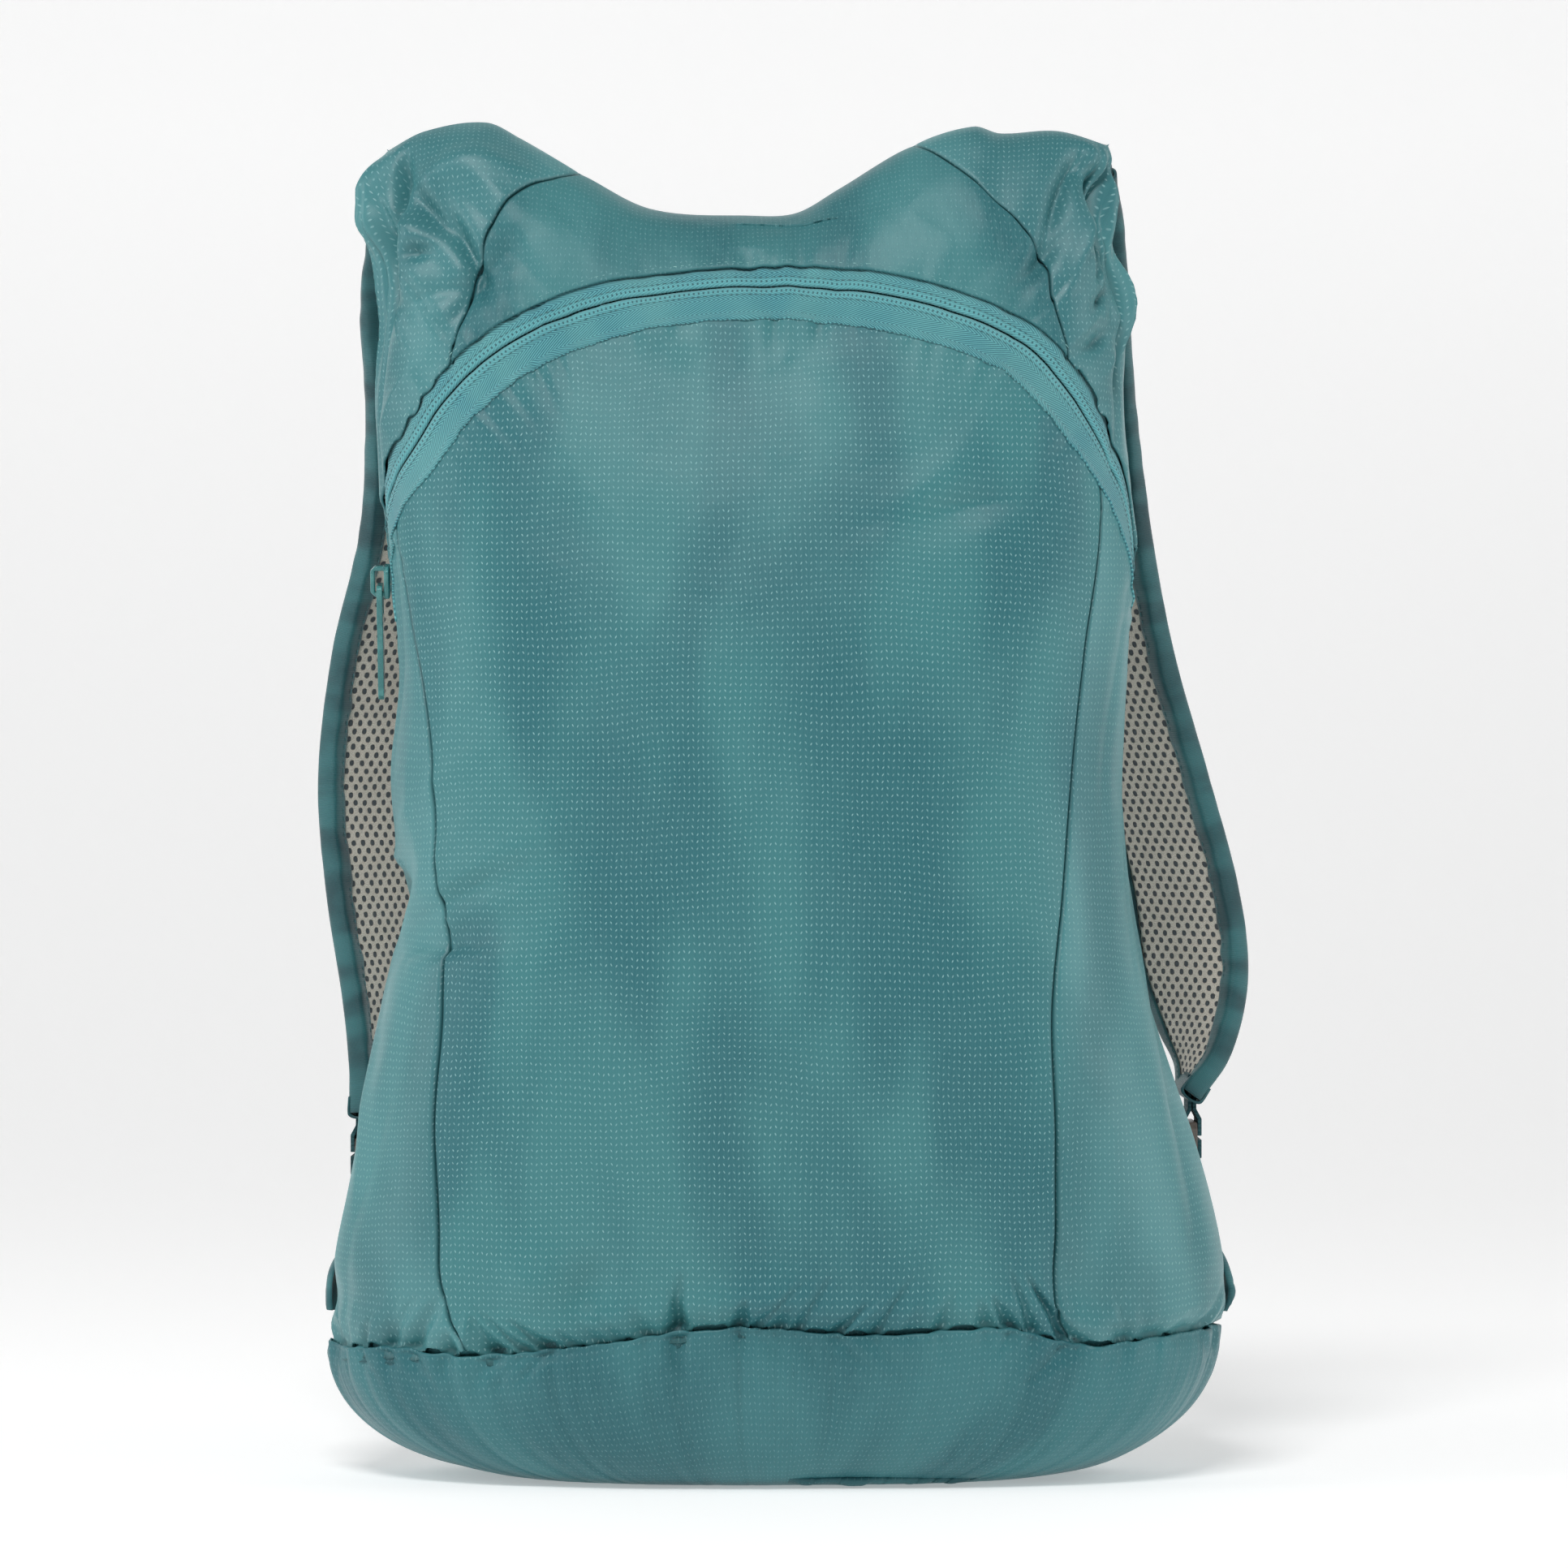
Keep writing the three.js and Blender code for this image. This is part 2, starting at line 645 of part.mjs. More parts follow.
function addSidePanels() {
  const columns = flankColumns + endColumns + seamColumns;
  addPiece('side_panel_left', clothPatch({
    bottom: baseSeamLine(-backSeamShare, leftSeam(0).across),
    top: joined([
      { columns: seamColumns, line: straight(leftBackSeam, upperEdge(0)) },
      { columns: endColumns, line: straight(upperEdge(0), lowerEdge(0)) },
      { columns: flankColumns, line: spanOf(lowerEdge, 0, lowerLeftShare) },
    ]),
    left: straight(baseSeamLine(-backSeamShare, 0)(0), leftBackSeam),
    right: leftSeam,
    columns,
    rows: bodyRows,
    crowding: rowCrowding,
    wall: clothWall,
  }), cloth);
  addPiece('side_panel_right', clothPatch({
    bottom: baseSeamLine(rightSeam(0).across, backSeamShare),
    top: joined([
      { columns: flankColumns, line: spanOf(lowerEdge, lowerRightShare, 1) },
      { columns: endColumns, line: straight(lowerEdge(1), upperEdge(1)) },
      { columns: seamColumns, line: straight(upperEdge(1), rightBackSeam) },
    ]),
    left: rightSeam,
    right: straight(baseSeamLine(backSeamShare, 2)(0), rightBackSeam),
    columns,
    rows: bodyRows,
    crowding: rowCrowding,
    wall: clothWall,
  }), cloth);
}

function addShoulderPanels() {
  const columns = shoulderColumns + seamColumns;
  addPiece('shoulder_panel_left', clothPatch({
    bottom: joined([
      { columns: seamColumns, line: straight(leftBackSeam, upperEdge(0)) },
      { columns: shoulderColumns, line: spanOf(upperEdge, 0, upperLeftShare) },
    ]),
    top: ridge(-backSeamShare, leftYokeSeam(1).across),
    left: straight(leftBackSeam, { across: -backSeamShare, level: 1 }),
    right: leftYokeSeam,
    columns,
    rows: topRows,
    wall: clothWall,
  }), cloth);
  addPiece('shoulder_panel_right', clothPatch({
    bottom: joined([
      { columns: shoulderColumns, line: spanOf(upperEdge, upperRightShare, 1) },
      { columns: seamColumns, line: straight(upperEdge(1), rightBackSeam) },
    ]),
    top: ridge(rightYokeSeam(1).across, backSeamShare),
    left: rightYokeSeam,
    right: straight(rightBackSeam, { across: backSeamShare, level: 1 }),
    columns,
    rows: topRows,
    wall: clothWall,
  }), cloth);
}

function addYoke() {
  addPiece('top_yoke', clothPatch({
    bottom: spanOf(upperEdge, upperLeftShare, upperRightShare),
    top: ridge(leftYokeSeam(1).across, rightYokeSeam(1).across),
    left: leftYokeSeam,
    right: rightYokeSeam,
    columns: yokeColumns,
    rows: topRows,
    wall: clothWall,
  }), cloth);
}

function addBackPanel() {
  const foot = baseSeamLine(backSeamShare, 4 - backSeamShare);
  const joint = (place, across) => {
    const lower = straight({ across, level: foot(0).level }, { across, level: place.level });
    const upper = straight({ across, level: place.level }, { across, level: 1 });
    return joined([
      { columns: bodyRows, line: (share) => lower(share ** rowCrowding) },
      { columns: topRows, line: upper },
    ]);
  };
  addPiece('back_panel', clothPatch({
    bottom: foot,
    top: ridge(backSeamShare, 4 - backSeamShare),
    left: joint(rightBackSeam, backSeamShare),
    right: joint(leftBackSeam, 4 - backSeamShare),
    columns: backColumns,
    rows: bodyRows + topRows,
    wall: clothWall,
  }), cloth);
}

// The base is a bowl: rings from the seam inwards, then one flat foot
function addBasePanel() {
  const runs = [
    { from: leftSeam(0).across, to: rightSeam(0).across, columns: frontColumns },
    { from: rightSeam(0).across, to: backSeamShare, columns: flankColumns + endColumns + seamColumns },
    { from: backSeamShare, to: 4 - backSeamShare, columns: backColumns },
    { from: 4 - backSeamShare, to: 4 + leftSeam(0).across, columns: flankColumns + endColumns + seamColumns },
  ];
  const turns = runs.flatMap(({ from, to, columns }) => (
    Array.from({ length: columns }, (_, i) => from + (to - from) * i / columns)));
  const shareAt = (ring) => 1 - (1 - footShare) * (ring / baseRings) ** ringCrowding;
  const outer = turns.map((turn) => Array.from({ length: baseRings + 1 }, (_, ring) => (
    basePoint(turn, shareAt(ring)))));
  const inner = turns.map((turn, i) => outer[i].map((point, ring) => {
    const share = Math.max(shareAt(ring), footShare + 0.01);
    const seam = baseSeamLine(turn, turn)(0);
    const normal = ring === 0
      ? surfaceNormal(clothPoint, seam.across > 2 ? seam.across - 4 : seam.across, seam.level)
      : surfaceNormal(basePoint, turn, share);
    if (ring === baseRings) normal.set(0, 0, -1);
    return point.clone().addScaledVector(normal, -clothWall);
  }));
  [outer, inner].forEach((grid) => grid.forEach((column) => {
    column[0].add(column[1].clone().sub(column[0]).setLength(seamGap / 2));
  }));
  addPiece('base_panel', bowlGeometry(outer, inner), cloth);
}

// A bowl from two grids of rings, grid[turn][ring], with a point in the middle of each floor
function bowlGeometry(outer, inner) {
  const turns = outer.length;
  const rings = outer[0].length;
  const middle = (grid) => {
    const sum = new THREE.Vector3();
    grid.forEach((column) => sum.add(column[rings - 1]));
    return sum.divideScalar(turns);
  };
  const points = [...outer.flat(), ...inner.flat(), middle(outer), middle(inner)];
  const out = (i, j) => (i % turns) * rings + j;
  const back = (i, j) => (turns + (i % turns)) * rings + j;
  const outMiddle = 2 * turns * rings;
  const backMiddle = outMiddle + 1;
  const triangles = [];
  const quad = (a, b, c, d) => triangles.push(a, b, c, a, c, d);
  for (let i = 0; i < turns; i += 1) {
    for (let j = 0; j < rings - 1; j += 1) {
      quad(out(i, j), out(i, j + 1), out(i + 1, j + 1), out(i + 1, j));
      quad(back(i, j), back(i + 1, j), back(i + 1, j + 1), back(i, j + 1));
    }
    quad(out(i, 0), out(i + 1, 0), back(i + 1, 0), back(i, 0));
    triangles.push(out(i, rings - 1), outMiddle, out(i + 1, rings - 1));
    triangles.push(back(i, rings - 1), back(i + 1, rings - 1), backMiddle);
  }
  return meshGeometry(points, triangles);
}

function addZip() {
  const strip = (name, low, high, spans, wall, sunk, look) => {
    addPiece(name, clothPatch({
      bottom: joined(spans.map(({ columns, from, to }) => ({ columns, line: spanOf(low, from, to) }))),
      top: joined(spans.map(({ columns, from, to }) => ({ columns, line: spanOf(high, from, to) }))),
      left: straight(low(0), high(0)),
      right: straight(low(1), high(1)),
      columns: spans.reduce((sum, span) => sum + span.columns, 0),
      rows: tapeRows,
      wall,
      sunk,
    }), look);
  };
  const lowerSpans = [
    { columns: flankColumns, from: 0, to: lowerLeftShare },
    { columns: frontColumns, from: lowerLeftShare, to: lowerRightShare },
    { columns: flankColumns, from: lowerRightShare, to: 1 },
  ];
  const upperSpans = [
    { columns: shoulderColumns, from: 0, to: upperLeftShare },
    { columns: yokeColumns, from: upperLeftShare, to: upperRightShare },
    { columns: shoulderColumns, from: upperRightShare, to: 1 },
  ];
  const halfSlit = (slitGap - seamGap) / 2;
  strip('zip_tape_lower', lowerEdge, tapeLine(-halfSlit), lowerSpans, tapeWall, 0, tapeCloth);
  strip('zip_tape_upper', tapeLine(halfSlit), upperEdge, upperSpans, tapeWall, 0, tapeCloth);
  const coilSunk = tapeWall + coilGap;
  const coilLow = tapeLine(-coilWidth / 2);
  const coilHigh = tapeLine(coilWidth / 2);
  strip('zip_coil', coilLow, coilHigh, lowerSpans, coilWall, coilSunk, tapeCloth);
}

// Solids joined or cut through manifold-3d
function solidOf(geometry) {
  const bare = geometry.clone();
  bare.deleteAttribute('normal');
  bare.deleteAttribute('uv');
  const merged = mergeVertices(bare, 1e-4);
  return new wasm.Manifold(new wasm.Mesh({
    numProp: 3,
    vertProperties: new Float32Array(merged.attributes.position.array),
    triVerts: new Uint32Array(merged.index.array),
  }));
}

function geometryOf(solid) {
  const mesh = solid.getMesh();
  const geometry = new THREE.BufferGeometry();
  geometry.setAttribute('position', new THREE.BufferAttribute(mesh.vertProperties, 3));
  geometry.setIndex(Array.from(mesh.triVerts));
  geometry.computeVertexNormals();
  return geometry;
}

function outlineOf(points) {
  return new THREE.Shape(points.map(([x, y]) => new THREE.Vector2(x, y)));
}

// An outline in the plane of side and height, given its wall along the outward axis
function facingPlate(shape, wall, start) {
  const geometry = new THREE.ExtrudeGeometry(shape, { depth: wall, bevelEnabled: false, curveSegments: 5 });
  const turn = new THREE.Matrix4().makeBasis(
    new THREE.Vector3(0, 1, 0), new THREE.Vector3(0, 0, 1), new THREE.Vector3(1, 0, 0));
  return geometry.applyMatrix4(turn).translate(start, 0, 0);
}

// An outline in the plane of outward and height, given its width from side to side
function edgewisePlate(shape, width) {
  const geometry = new THREE.ExtrudeGeometry(shape, { depth: width, bevelEnabled: false });
  const turn = new THREE.Matrix4().makeBasis(
    new THREE.Vector3(1, 0, 0), new THREE.Vector3(0, 0, 1), new THREE.Vector3(0, -1, 0));
  return geometry.applyMatrix4(turn).translate(0, width / 2, 0);
}

// The slider stands on the left flank, square to -X and turned to lie along the slit
function sliderPlace() {
  const place = slitPlace(sliderShare);
  const step = 0.01;
  const ahead = slitPlace(sliderShare + step);
  const seat = clothPoint(place.across, place.level);
  const along = clothPoint(ahead.across, ahead.level).sub(seat);
  const lean = Math.atan2(-along.y, along.z);
  return { seat, lean };
}

function addZipHardware() {
  const { seat, lean } = sliderPlace();
  const plateTop = sliderGap + sliderPlate;
  const half = sliderLength / 2;
  const wide = sliderWidth / 2;
  const tail = wide * sliderTailShare;
  const nose = wide * sliderNoseShare;
  const waistHeight = -half * sliderWaistShare;
  const shoulderHeight = half * sliderShoulderShare;
  const plate = facingPlate(outlineOf([
    [-tail, -half], [tail, -half], [wide, waistHeight], [wide, shoulderHeight],
    [nose, half], [-nose, half], [-wide, shoulderHeight], [-wide, waistHeight],
  ]), sliderPlate, sliderGap);
  const reach = bridgeLength / 2;
  const inside = reach - bridgeWall;
  const archTop = plateTop + bridgeRoom + bridgeWall;
  const root = plateTop - sliderPlate / 2;
  const bridge = edgewisePlate(outlineOf([
    [root, -reach], [archTop - bridgeCorner, -reach], [archTop, -reach + bridgeCorner],
    [archTop, reach - bridgeCorner], [archTop - bridgeCorner, reach], [root, reach],
    [root, inside], [archTop - bridgeWall, inside], [archTop - bridgeWall, -inside], [root, -inside],
  ]), bridgeWidth);
  const slider = addPiece('zip_slider', geometryOf(solidOf(plate).add(solidOf(bridge))), paintedMetal);

  const pullPin = pullWall / 2;
  const pinHeight = -inside + runningGap + pullPin;
  const pinOut = plateTop + runningGap + pullPin;
  const top = pullTopWidth / 2;
  const tip = pullTipWidth / 2;
  const end = -(pullLength - pullPin);
  const shoulder = -pullEyeLength - pullEyeRim;
  const waist = shoulder - pullTaper;
  const outline = outlineOf([
    [-tip + pullRounding, end], [tip - pullRounding, end], [tip, end + pullRounding], [tip, waist],
    [top, shoulder], [top, pullPin - pullCorner], [top - pullCorner, pullPin], [-top + pullCorner, pullPin],
    [-top, pullPin - pullCorner], [-top, shoulder], [-tip, waist], [-tip, end + pullRounding],
  ]);
  const eye = pullEyeWidth / 2;
  outline.holes.push(new THREE.Path([
    [-eye, -pullPin], [-eye, -pullEyeLength], [eye, -pullEyeLength], [eye, -pullPin],
  ].map(([x, y]) => new THREE.Vector2(x, y))));
  const slot = pullSlotWidth / 2;
  const slotFoot = end + pullSlotFoot;
  const slotTop = slotFoot + pullSlotLength;
  outline.holes.push(new THREE.Path([
    [-slot, slotTop], [-slot, slotFoot], [slot, slotFoot], [slot, slotTop],
  ].map(([x, y]) => new THREE.Vector2(x, y))));
  const pull = addPiece('zip_pull', facingPlate(outline, pullWall, -pullPin), paintedMetal);

  const toLeft = new THREE.Matrix4().makeRotationZ(Math.PI);
  const leaning = new THREE.Matrix4().makeRotationX(lean).multiply(toLeft);
  const pinPlace = new THREE.Vector3(pinOut, 0, pinHeight).applyMatrix4(leaning).add(seat);
  slider.rotation.setFromRotationMatrix(leaning);
  slider.position.copy(seat);
  pull.rotation.setFromRotationMatrix(leaning);
  pull.position.copy(pinPlace);
}

// How far back the strap's root lies, so that it rests on the back panel
function rootBack(rows, side) {
  const root = rows[0];
  const samples = 8;
  const half = (side < 0 ? halfLeft : halfRight)(root.rise) * baseHalfWidth;
  let deepest = 0;
  for (let i = 0; i <= samples; i += 1) {
    const x = root.out * baseHalfWidth - strapWidth * i / samples;
    const across = side * (2 - acrossAt(Math.min(x / half, 0.99)));
    deepest = Math.max(deepest, bodyPoint(across, levelAt(across, root.rise)).y);
  }
  return deepest + meshWall - (side < 0 ? rootBeddingLeft : rootBeddingRight);
}

const rootBacks = { [-1]: rootBack(strapLeft, -1), 1: rootBack(strapRight, 1) };

// The line and cross direction of a strap at a share of its run, down from the root
function strapFrame(rows, side, share) {
  const column = (name) => runCurve(rows, name);
  const outerAt = (at) => new THREE.Vector3(
    side * column('out')(at) * baseHalfWidth,
    rootBacks[side] + column('back')(at) * bagDepth,
    column('rise')(at) * bagHeight,
  );
  const turn = THREE.MathUtils.degToRad(column('turn')(share));
  const cross = new THREE.Vector3(-side * Math.cos(turn), Math.sin(turn), 0);
  const step = 0.01;
  const ahead = outerAt(Math.min(share + step, 1)).sub(outerAt(Math.max(share - step, 0)));
  const meshSide = ahead.clone().cross(cross).multiplyScalar(-side).normalize();
  return { outer: outerAt(share), cross, meshSide, width: column('wide')(share) * strapWidth };
}

// A layer of the strap between two depths, kept clear of the bindings at both edges
function strapLayer(rows, side, near, far) {
  const outer = [];
  const inner = [];
  for (let i = 0; i <= strapColumns; i += 1) {
    outer.push([]);
    inner.push([]);
    for (let j = 0; j <= strapRows; j += 1) {
      const frame = strapFrame(rows, side, 1 - j / strapRows);
      const lines = [0, bindingWidth, frame.width / 2, frame.width - bindingWidth, frame.width];
      const across = side < 0 ? lines[strapColumns - i] : lines[i];
      const from = frame.outer.clone().addScaledVector(frame.cross, across);
      outer[i].push(from.clone().addScaledVector(frame.meshSide, near));
      inner[i].push(from.clone().addScaledVector(frame.meshSide, far));
    }
  }
  return shellGeometry(outer, inner);
}

// A closed tube of one section, given in cross and mesh-side distances at each share
function strapEdge(rows, side, sectionAt) {
  const count = sectionAt(strapFrame(rows, side, 0)).length;
  const points = [];
  for (let j = 0; j <= strapRows; j += 1) {
    const frame = strapFrame(rows, side, j / strapRows);
    for (const [across, deep] of sectionAt(frame)) {
      points.push(frame.outer.clone()
        .addScaledVector(frame.cross, across)
        .addScaledVector(frame.meshSide, deep));
    }
  }
  const triangles = [];
  for (let j = 0; j < strapRows; j += 1) {
    for (let k = 0; k < count; k += 1) {
      const next = (k + 1) % count;
      const a = j * count + k;
      const b = j * count + next;
      triangles.push(a, b, b + count, a, b + count, a + count);
    }
  }
  const section = sectionAt(strapFrame(rows, side, 0)).map(([x, y]) => new THREE.Vector2(x, y));
  const last = strapRows * count;
  THREE.ShapeUtils.triangulateShape(section, []).forEach(([a, b, c]) => {
    triangles.push(c, b, a);
    triangles.push(last + a, last + b, last + c);
  });
  return facingOut(meshGeometry(points, triangles));
}

// Turns a closed mesh's faces outward if its volume comes out negative
function facingOut(geometry) {
  const position = geometry.attributes.position;
  const index = geometry.index.array;
  const corner = (i) => new THREE.Vector3().fromBufferAttribute(position, index[i]);
  let volume = 0;
  for (let i = 0; i < index.length; i += 3) {
    volume += corner(i).dot(corner(i + 1).cross(corner(i + 2)));
  }
  if (volume < 0) {
    for (let i = 0; i < index.length; i += 3) {
      [index[i], index[i + 1]] = [index[i + 1], index[i]];
    }
    geometry.computeVertexNormals();
  }
  return geometry;
}

function addStrap(name, rows, side) {
  const faceNear = -layerGap / 2;
  const faceFar = faceNear - faceWall;
  const meshNear = layerGap / 2;
  const meshFar = meshNear + meshWall;
  addPiece(`strap_face_${name}`, facingOut(strapLayer(rows, side, faceNear, faceFar)), cloth);
  addPiece(`strap_mesh_${name}`, facingOut(strapLayer(rows, side, meshFar, meshNear)), airMesh);
  const low = faceFar - bindingGap;
  const high = meshFar + bindingGap;
  const hook = (start, way) => {
    const edge = start - way * bindingGap;
    const lip = start + way * bindingWidth;
    const back = edge - way * bindingWall;
    const section = [
      [back, low - bindingWall], [lip, low - bindingWall], [lip, low], [edge, low],
      [edge, high], [lip, high], [lip, high + bindingWall], [back, high + bindingWall],
    ];
    return way > 0 ? section : section.reverse();
  };
  addPiece(`strap_binding_outer_${name}`, strapEdge(rows, side, () => hook(0, 1)), bindingCloth);
  addPiece(`strap_binding_inner_${name}`,
    strapEdge(rows, side, (frame) => hook(frame.width, -1)), bindingCloth);
}

// A ribbon of webbing: a line in the plane of outward and height, given wall and width
function ribbon(line, wall, width) {
  const sides = [1, -1].map((side) => line.map(([x, z], i) => {
    const before = line[Math.max(i - 1, 0)];
    const after = line[Math.min(i + 1, line.length - 1)];
    const into = new THREE.Vector2(x - before[0], z - before[1]).normalize();
    const away = new THREE.Vector2(after[0] - x, after[1] - z).normalize();
    if (i === 0) into.copy(away);
    if (i === line.length - 1) away.copy(into);
    const mitre = into.clone().add(away).normalize();
    const stretch = 1 / Math.max(mitre.dot(into), 0.5);
    return [x - side * mitre.y * stretch * wall / 2, z + side * mitre.x * stretch * wall / 2];
  }));
  return edgewisePlate(outlineOf([...sides[1], ...sides[0].reverse()]), width);
}

// The ladder lock, its two pieces of webbing and the cloth anchor, below the strap's end
function addStrapEnd(name, rows, side) {
  const end = strapFrame(rows, side, 1);
  const endMiddle = end.outer.clone().addScaledVector(end.cross, end.width / 2);
  const lockHeight = lockBar + loopSlot + lockBar + lockSlot + lockLip;
  const lockTop = -strapToLock;
  const lockFoot = lockTop - lockHeight;
  const slotHalf = lockWidth / 2 - lockSideBar;
  const half = lockWidth / 2;
  const frame = outlineOf([
    [-half, lockFoot + lockCorner], [-half + lockCorner, lockFoot], [half - lockCorner, lockFoot],
    [half, lockFoot + lockCorner], [half, lockTop - lockCorner], [half - lockCorner, lockTop],
    [-half + lockCorner, lockTop], [-half, lockTop - lockCorner],
  ]);
  const slotTops = [lockTop - lockBar, lockTop - 2 * lockBar - loopSlot];
  const slotHeights = [loopSlot, lockSlot];
  slotTops.forEach((slotTop, i) => {
    const slotFoot = slotTop - slotHeights[i];
    frame.holes.push(new THREE.Path([
      [-slotHalf, slotTop], [-slotHalf, slotFoot], [slotHalf, slotFoot], [slotHalf, slotTop],
    ].map(([x, y]) => new THREE.Vector2(x, y))));
  });
  const outward = side > 0 ? 0 : Math.PI;
  const place = (mesh) => {
    mesh.rotation.z = outward;
    mesh.position.copy(endMiddle);
  };
  place(addPiece(`ladder_lock_${name}`, facingPlate(frame, lockWall, -lockWall / 2), greyPlastic));

  const layer = lockWall / 2 + webbingGap + webbingWall / 2;
  const beside = webbingGap + webbingWall / 2;
  const loopFoot = lockTop - lockBar - beside;
  const loopTop = -2 * layerGap - bindingWall;
  const pinch = webbingWall / 2 + webbingGap / 2;
  place(addPiece(`strap_loop_${name}`, ribbon([
    [-pinch, loopTop], [-pinch, loopTop - loopPinch], [-layer, lockTop + loopRise], [-layer, loopFoot],
    [layer, loopFoot], [layer, lockTop + loopRise], [pinch, loopTop - loopPinch], [pinch, loopTop],
  ], webbingWall, webbingWidth), bindingCloth));

  const barFoot = lockTop - 2 * lockBar - loopSlot;
  const overBar = barFoot + lockBar + beside;
  const underBar = barFoot - beside;
  const loadLayer = -layer - webbingWall - webbingGap;
  const webbingFoot = lockFoot - tailLength;
  place(addPiece(`strap_webbing_${name}`, ribbon([
    [loadLayer, webbingFoot], [loadLayer, overBar], [layer, overBar], [layer, underBar],
    [-layer, underBar], [-layer, lockFoot - tailLength / 2],
  ], webbingWall, webbingWidth), bindingCloth));
  addAnchor(name, side, endMiddle, loadLayer, webbingFoot);
}

// The cloth anchor spreads from the webbing down to the base seam on the flank
function addAnchor(name, side, endMiddle, loadLayer, webbingFoot) {
  const outer = [];
  const inner = [];
  for (let i = 0; i <= anchorColumns; i += 1) {
    outer.push([]);
    inner.push([]);
    const across = side * (anchorNear + (anchorFar - anchorNear) * i / anchorColumns);
    const level = levelAt(across, anchorSeatRise);
    const normal = surfaceNormal(clothPoint, across, level);
    const top = new THREE.Vector3(
      endMiddle.x + side * (loadLayer - anchorWall / 2),
      endMiddle.y + webbingWidth * (i / anchorColumns - 0.5),
      endMiddle.z + webbingFoot - layerGap,
    );
    for (let j = 0; j <= anchorRows; j += 1) {
      const share = j / anchorRows;
      const onCloth = clothPoint(across, level + (top.z / bagHeight - anchorSeatRise) * share);
      const point = onCloth.addScaledVector(normal, anchorGap + anchorBillow * Math.sin(Math.PI * share));
      point.lerp(top, share * share);
      const out = normal.clone().lerp(new THREE.Vector3(side, 0, 0), share).normalize();
      inner[i].push(point);
      outer[i].push(point.clone().addScaledVector(out, anchorWall));
    }
  }
  addPiece(`strap_anchor_${name}`, facingOut(shellGeometry(outer, inner)), bindingCloth);
}

addFrontPanel();
addSidePanels();
addShoulderPanels();
addYoke();
addBackPanel();
addBasePanel();
addZip();
addZipHardware();
addStrap('left', strapLeft, -1);
addStrap('right', strapRight, 1);
addStrapEnd('left', strapLeft, -1);
addStrapEnd('right', strapRight, 1);

export default group;
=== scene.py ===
# Packable backpack, stuffed and standing on its base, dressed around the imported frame.
# Metres, +Z up, front towards -Y, the photograph's right towards +X.
import json
import math
import bmesh
import bpy
import numpy as np
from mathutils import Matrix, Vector

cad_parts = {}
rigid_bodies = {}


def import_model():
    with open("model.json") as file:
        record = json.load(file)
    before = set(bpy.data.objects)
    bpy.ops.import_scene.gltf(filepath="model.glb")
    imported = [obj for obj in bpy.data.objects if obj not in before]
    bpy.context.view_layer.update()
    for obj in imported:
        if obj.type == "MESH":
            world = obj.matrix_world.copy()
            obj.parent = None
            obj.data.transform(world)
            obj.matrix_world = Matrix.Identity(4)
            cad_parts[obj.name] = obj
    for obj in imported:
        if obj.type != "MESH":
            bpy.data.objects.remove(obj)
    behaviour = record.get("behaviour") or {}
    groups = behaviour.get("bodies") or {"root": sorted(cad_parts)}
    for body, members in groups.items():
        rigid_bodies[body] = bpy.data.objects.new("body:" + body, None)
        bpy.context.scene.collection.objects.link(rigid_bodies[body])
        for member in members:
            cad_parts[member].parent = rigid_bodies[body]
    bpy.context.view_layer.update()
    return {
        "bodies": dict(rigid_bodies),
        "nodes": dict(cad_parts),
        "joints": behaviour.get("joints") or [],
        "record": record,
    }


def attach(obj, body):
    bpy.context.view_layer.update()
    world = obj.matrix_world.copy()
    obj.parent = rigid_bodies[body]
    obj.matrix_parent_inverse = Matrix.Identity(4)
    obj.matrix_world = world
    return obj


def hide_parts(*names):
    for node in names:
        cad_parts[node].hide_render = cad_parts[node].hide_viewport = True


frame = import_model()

mm = 0.001

bag = {
    "height": 450 * mm,
    "halfWidth": 150 * mm,
    "depth": 122 * mm,
    "squareness": 2.6,  # of the outline seen from above
    # levels from which the depth closes towards the ridge, and from which the top edge's drop is felt
    "crownStart": 0.9,
    "edgeDropStart": 0.6,
    "crownRoundness": 2.4,
    "footShare": 0.5,  # the part of the base's reach that lies flat on the floor
    "baseRoundness": 2.2,
    "backSeam": 1.34,  # how far across it runs
    "wall": 0.6 * mm,
    "seamTuck": 2.4 * mm,
    "seamTuckReach": 9 * mm,
    "foldTurn": 0.36,  # heights of the bag that one step across counts for, where a fold leans
}
zipper = {
    "upperTape": 7.2 * mm,
    "lowerTape": 11.2 * mm,
    "tapeWall": 0.7 * mm,
    "tapeSunk": 1.0 * mm,
    # how far the upper tape runs on under the yoke's hem, and how much deeper it lies there
    "tuckedIn": 3.2 * mm,
    "underHem": 1.1 * mm,
    # how far the lower tape runs on over the front cloth, and how much higher it lies there
    "overCloth": 1.2 * mm,
    "overRise": 1.55 * mm,
    "frayed": 0.3 * mm,
    "halfSlit": 0.28 * mm,
    "toothPitch": 1.25 * mm,
    "toothRadius": 0.95 * mm,
    "toothWire": 0.26 * mm,
    "coilSunk": 3.1 * mm,
    "coilHalf": 1.1 * mm,
    # stitches beside the slit, in from the lower tape's hem and up from the upper tape's edge
    "slitStitches": 3.3 * mm,
    "hemStitches": 1.6 * mm,
    "yokeStitches": 1.9 * mm,
    "yokeStitchSunk": 0.25 * mm,
}


def table(columns, rows):
    return {name: np.array([row[i] for row in rows], float) for i, name in enumerate(columns.split())}


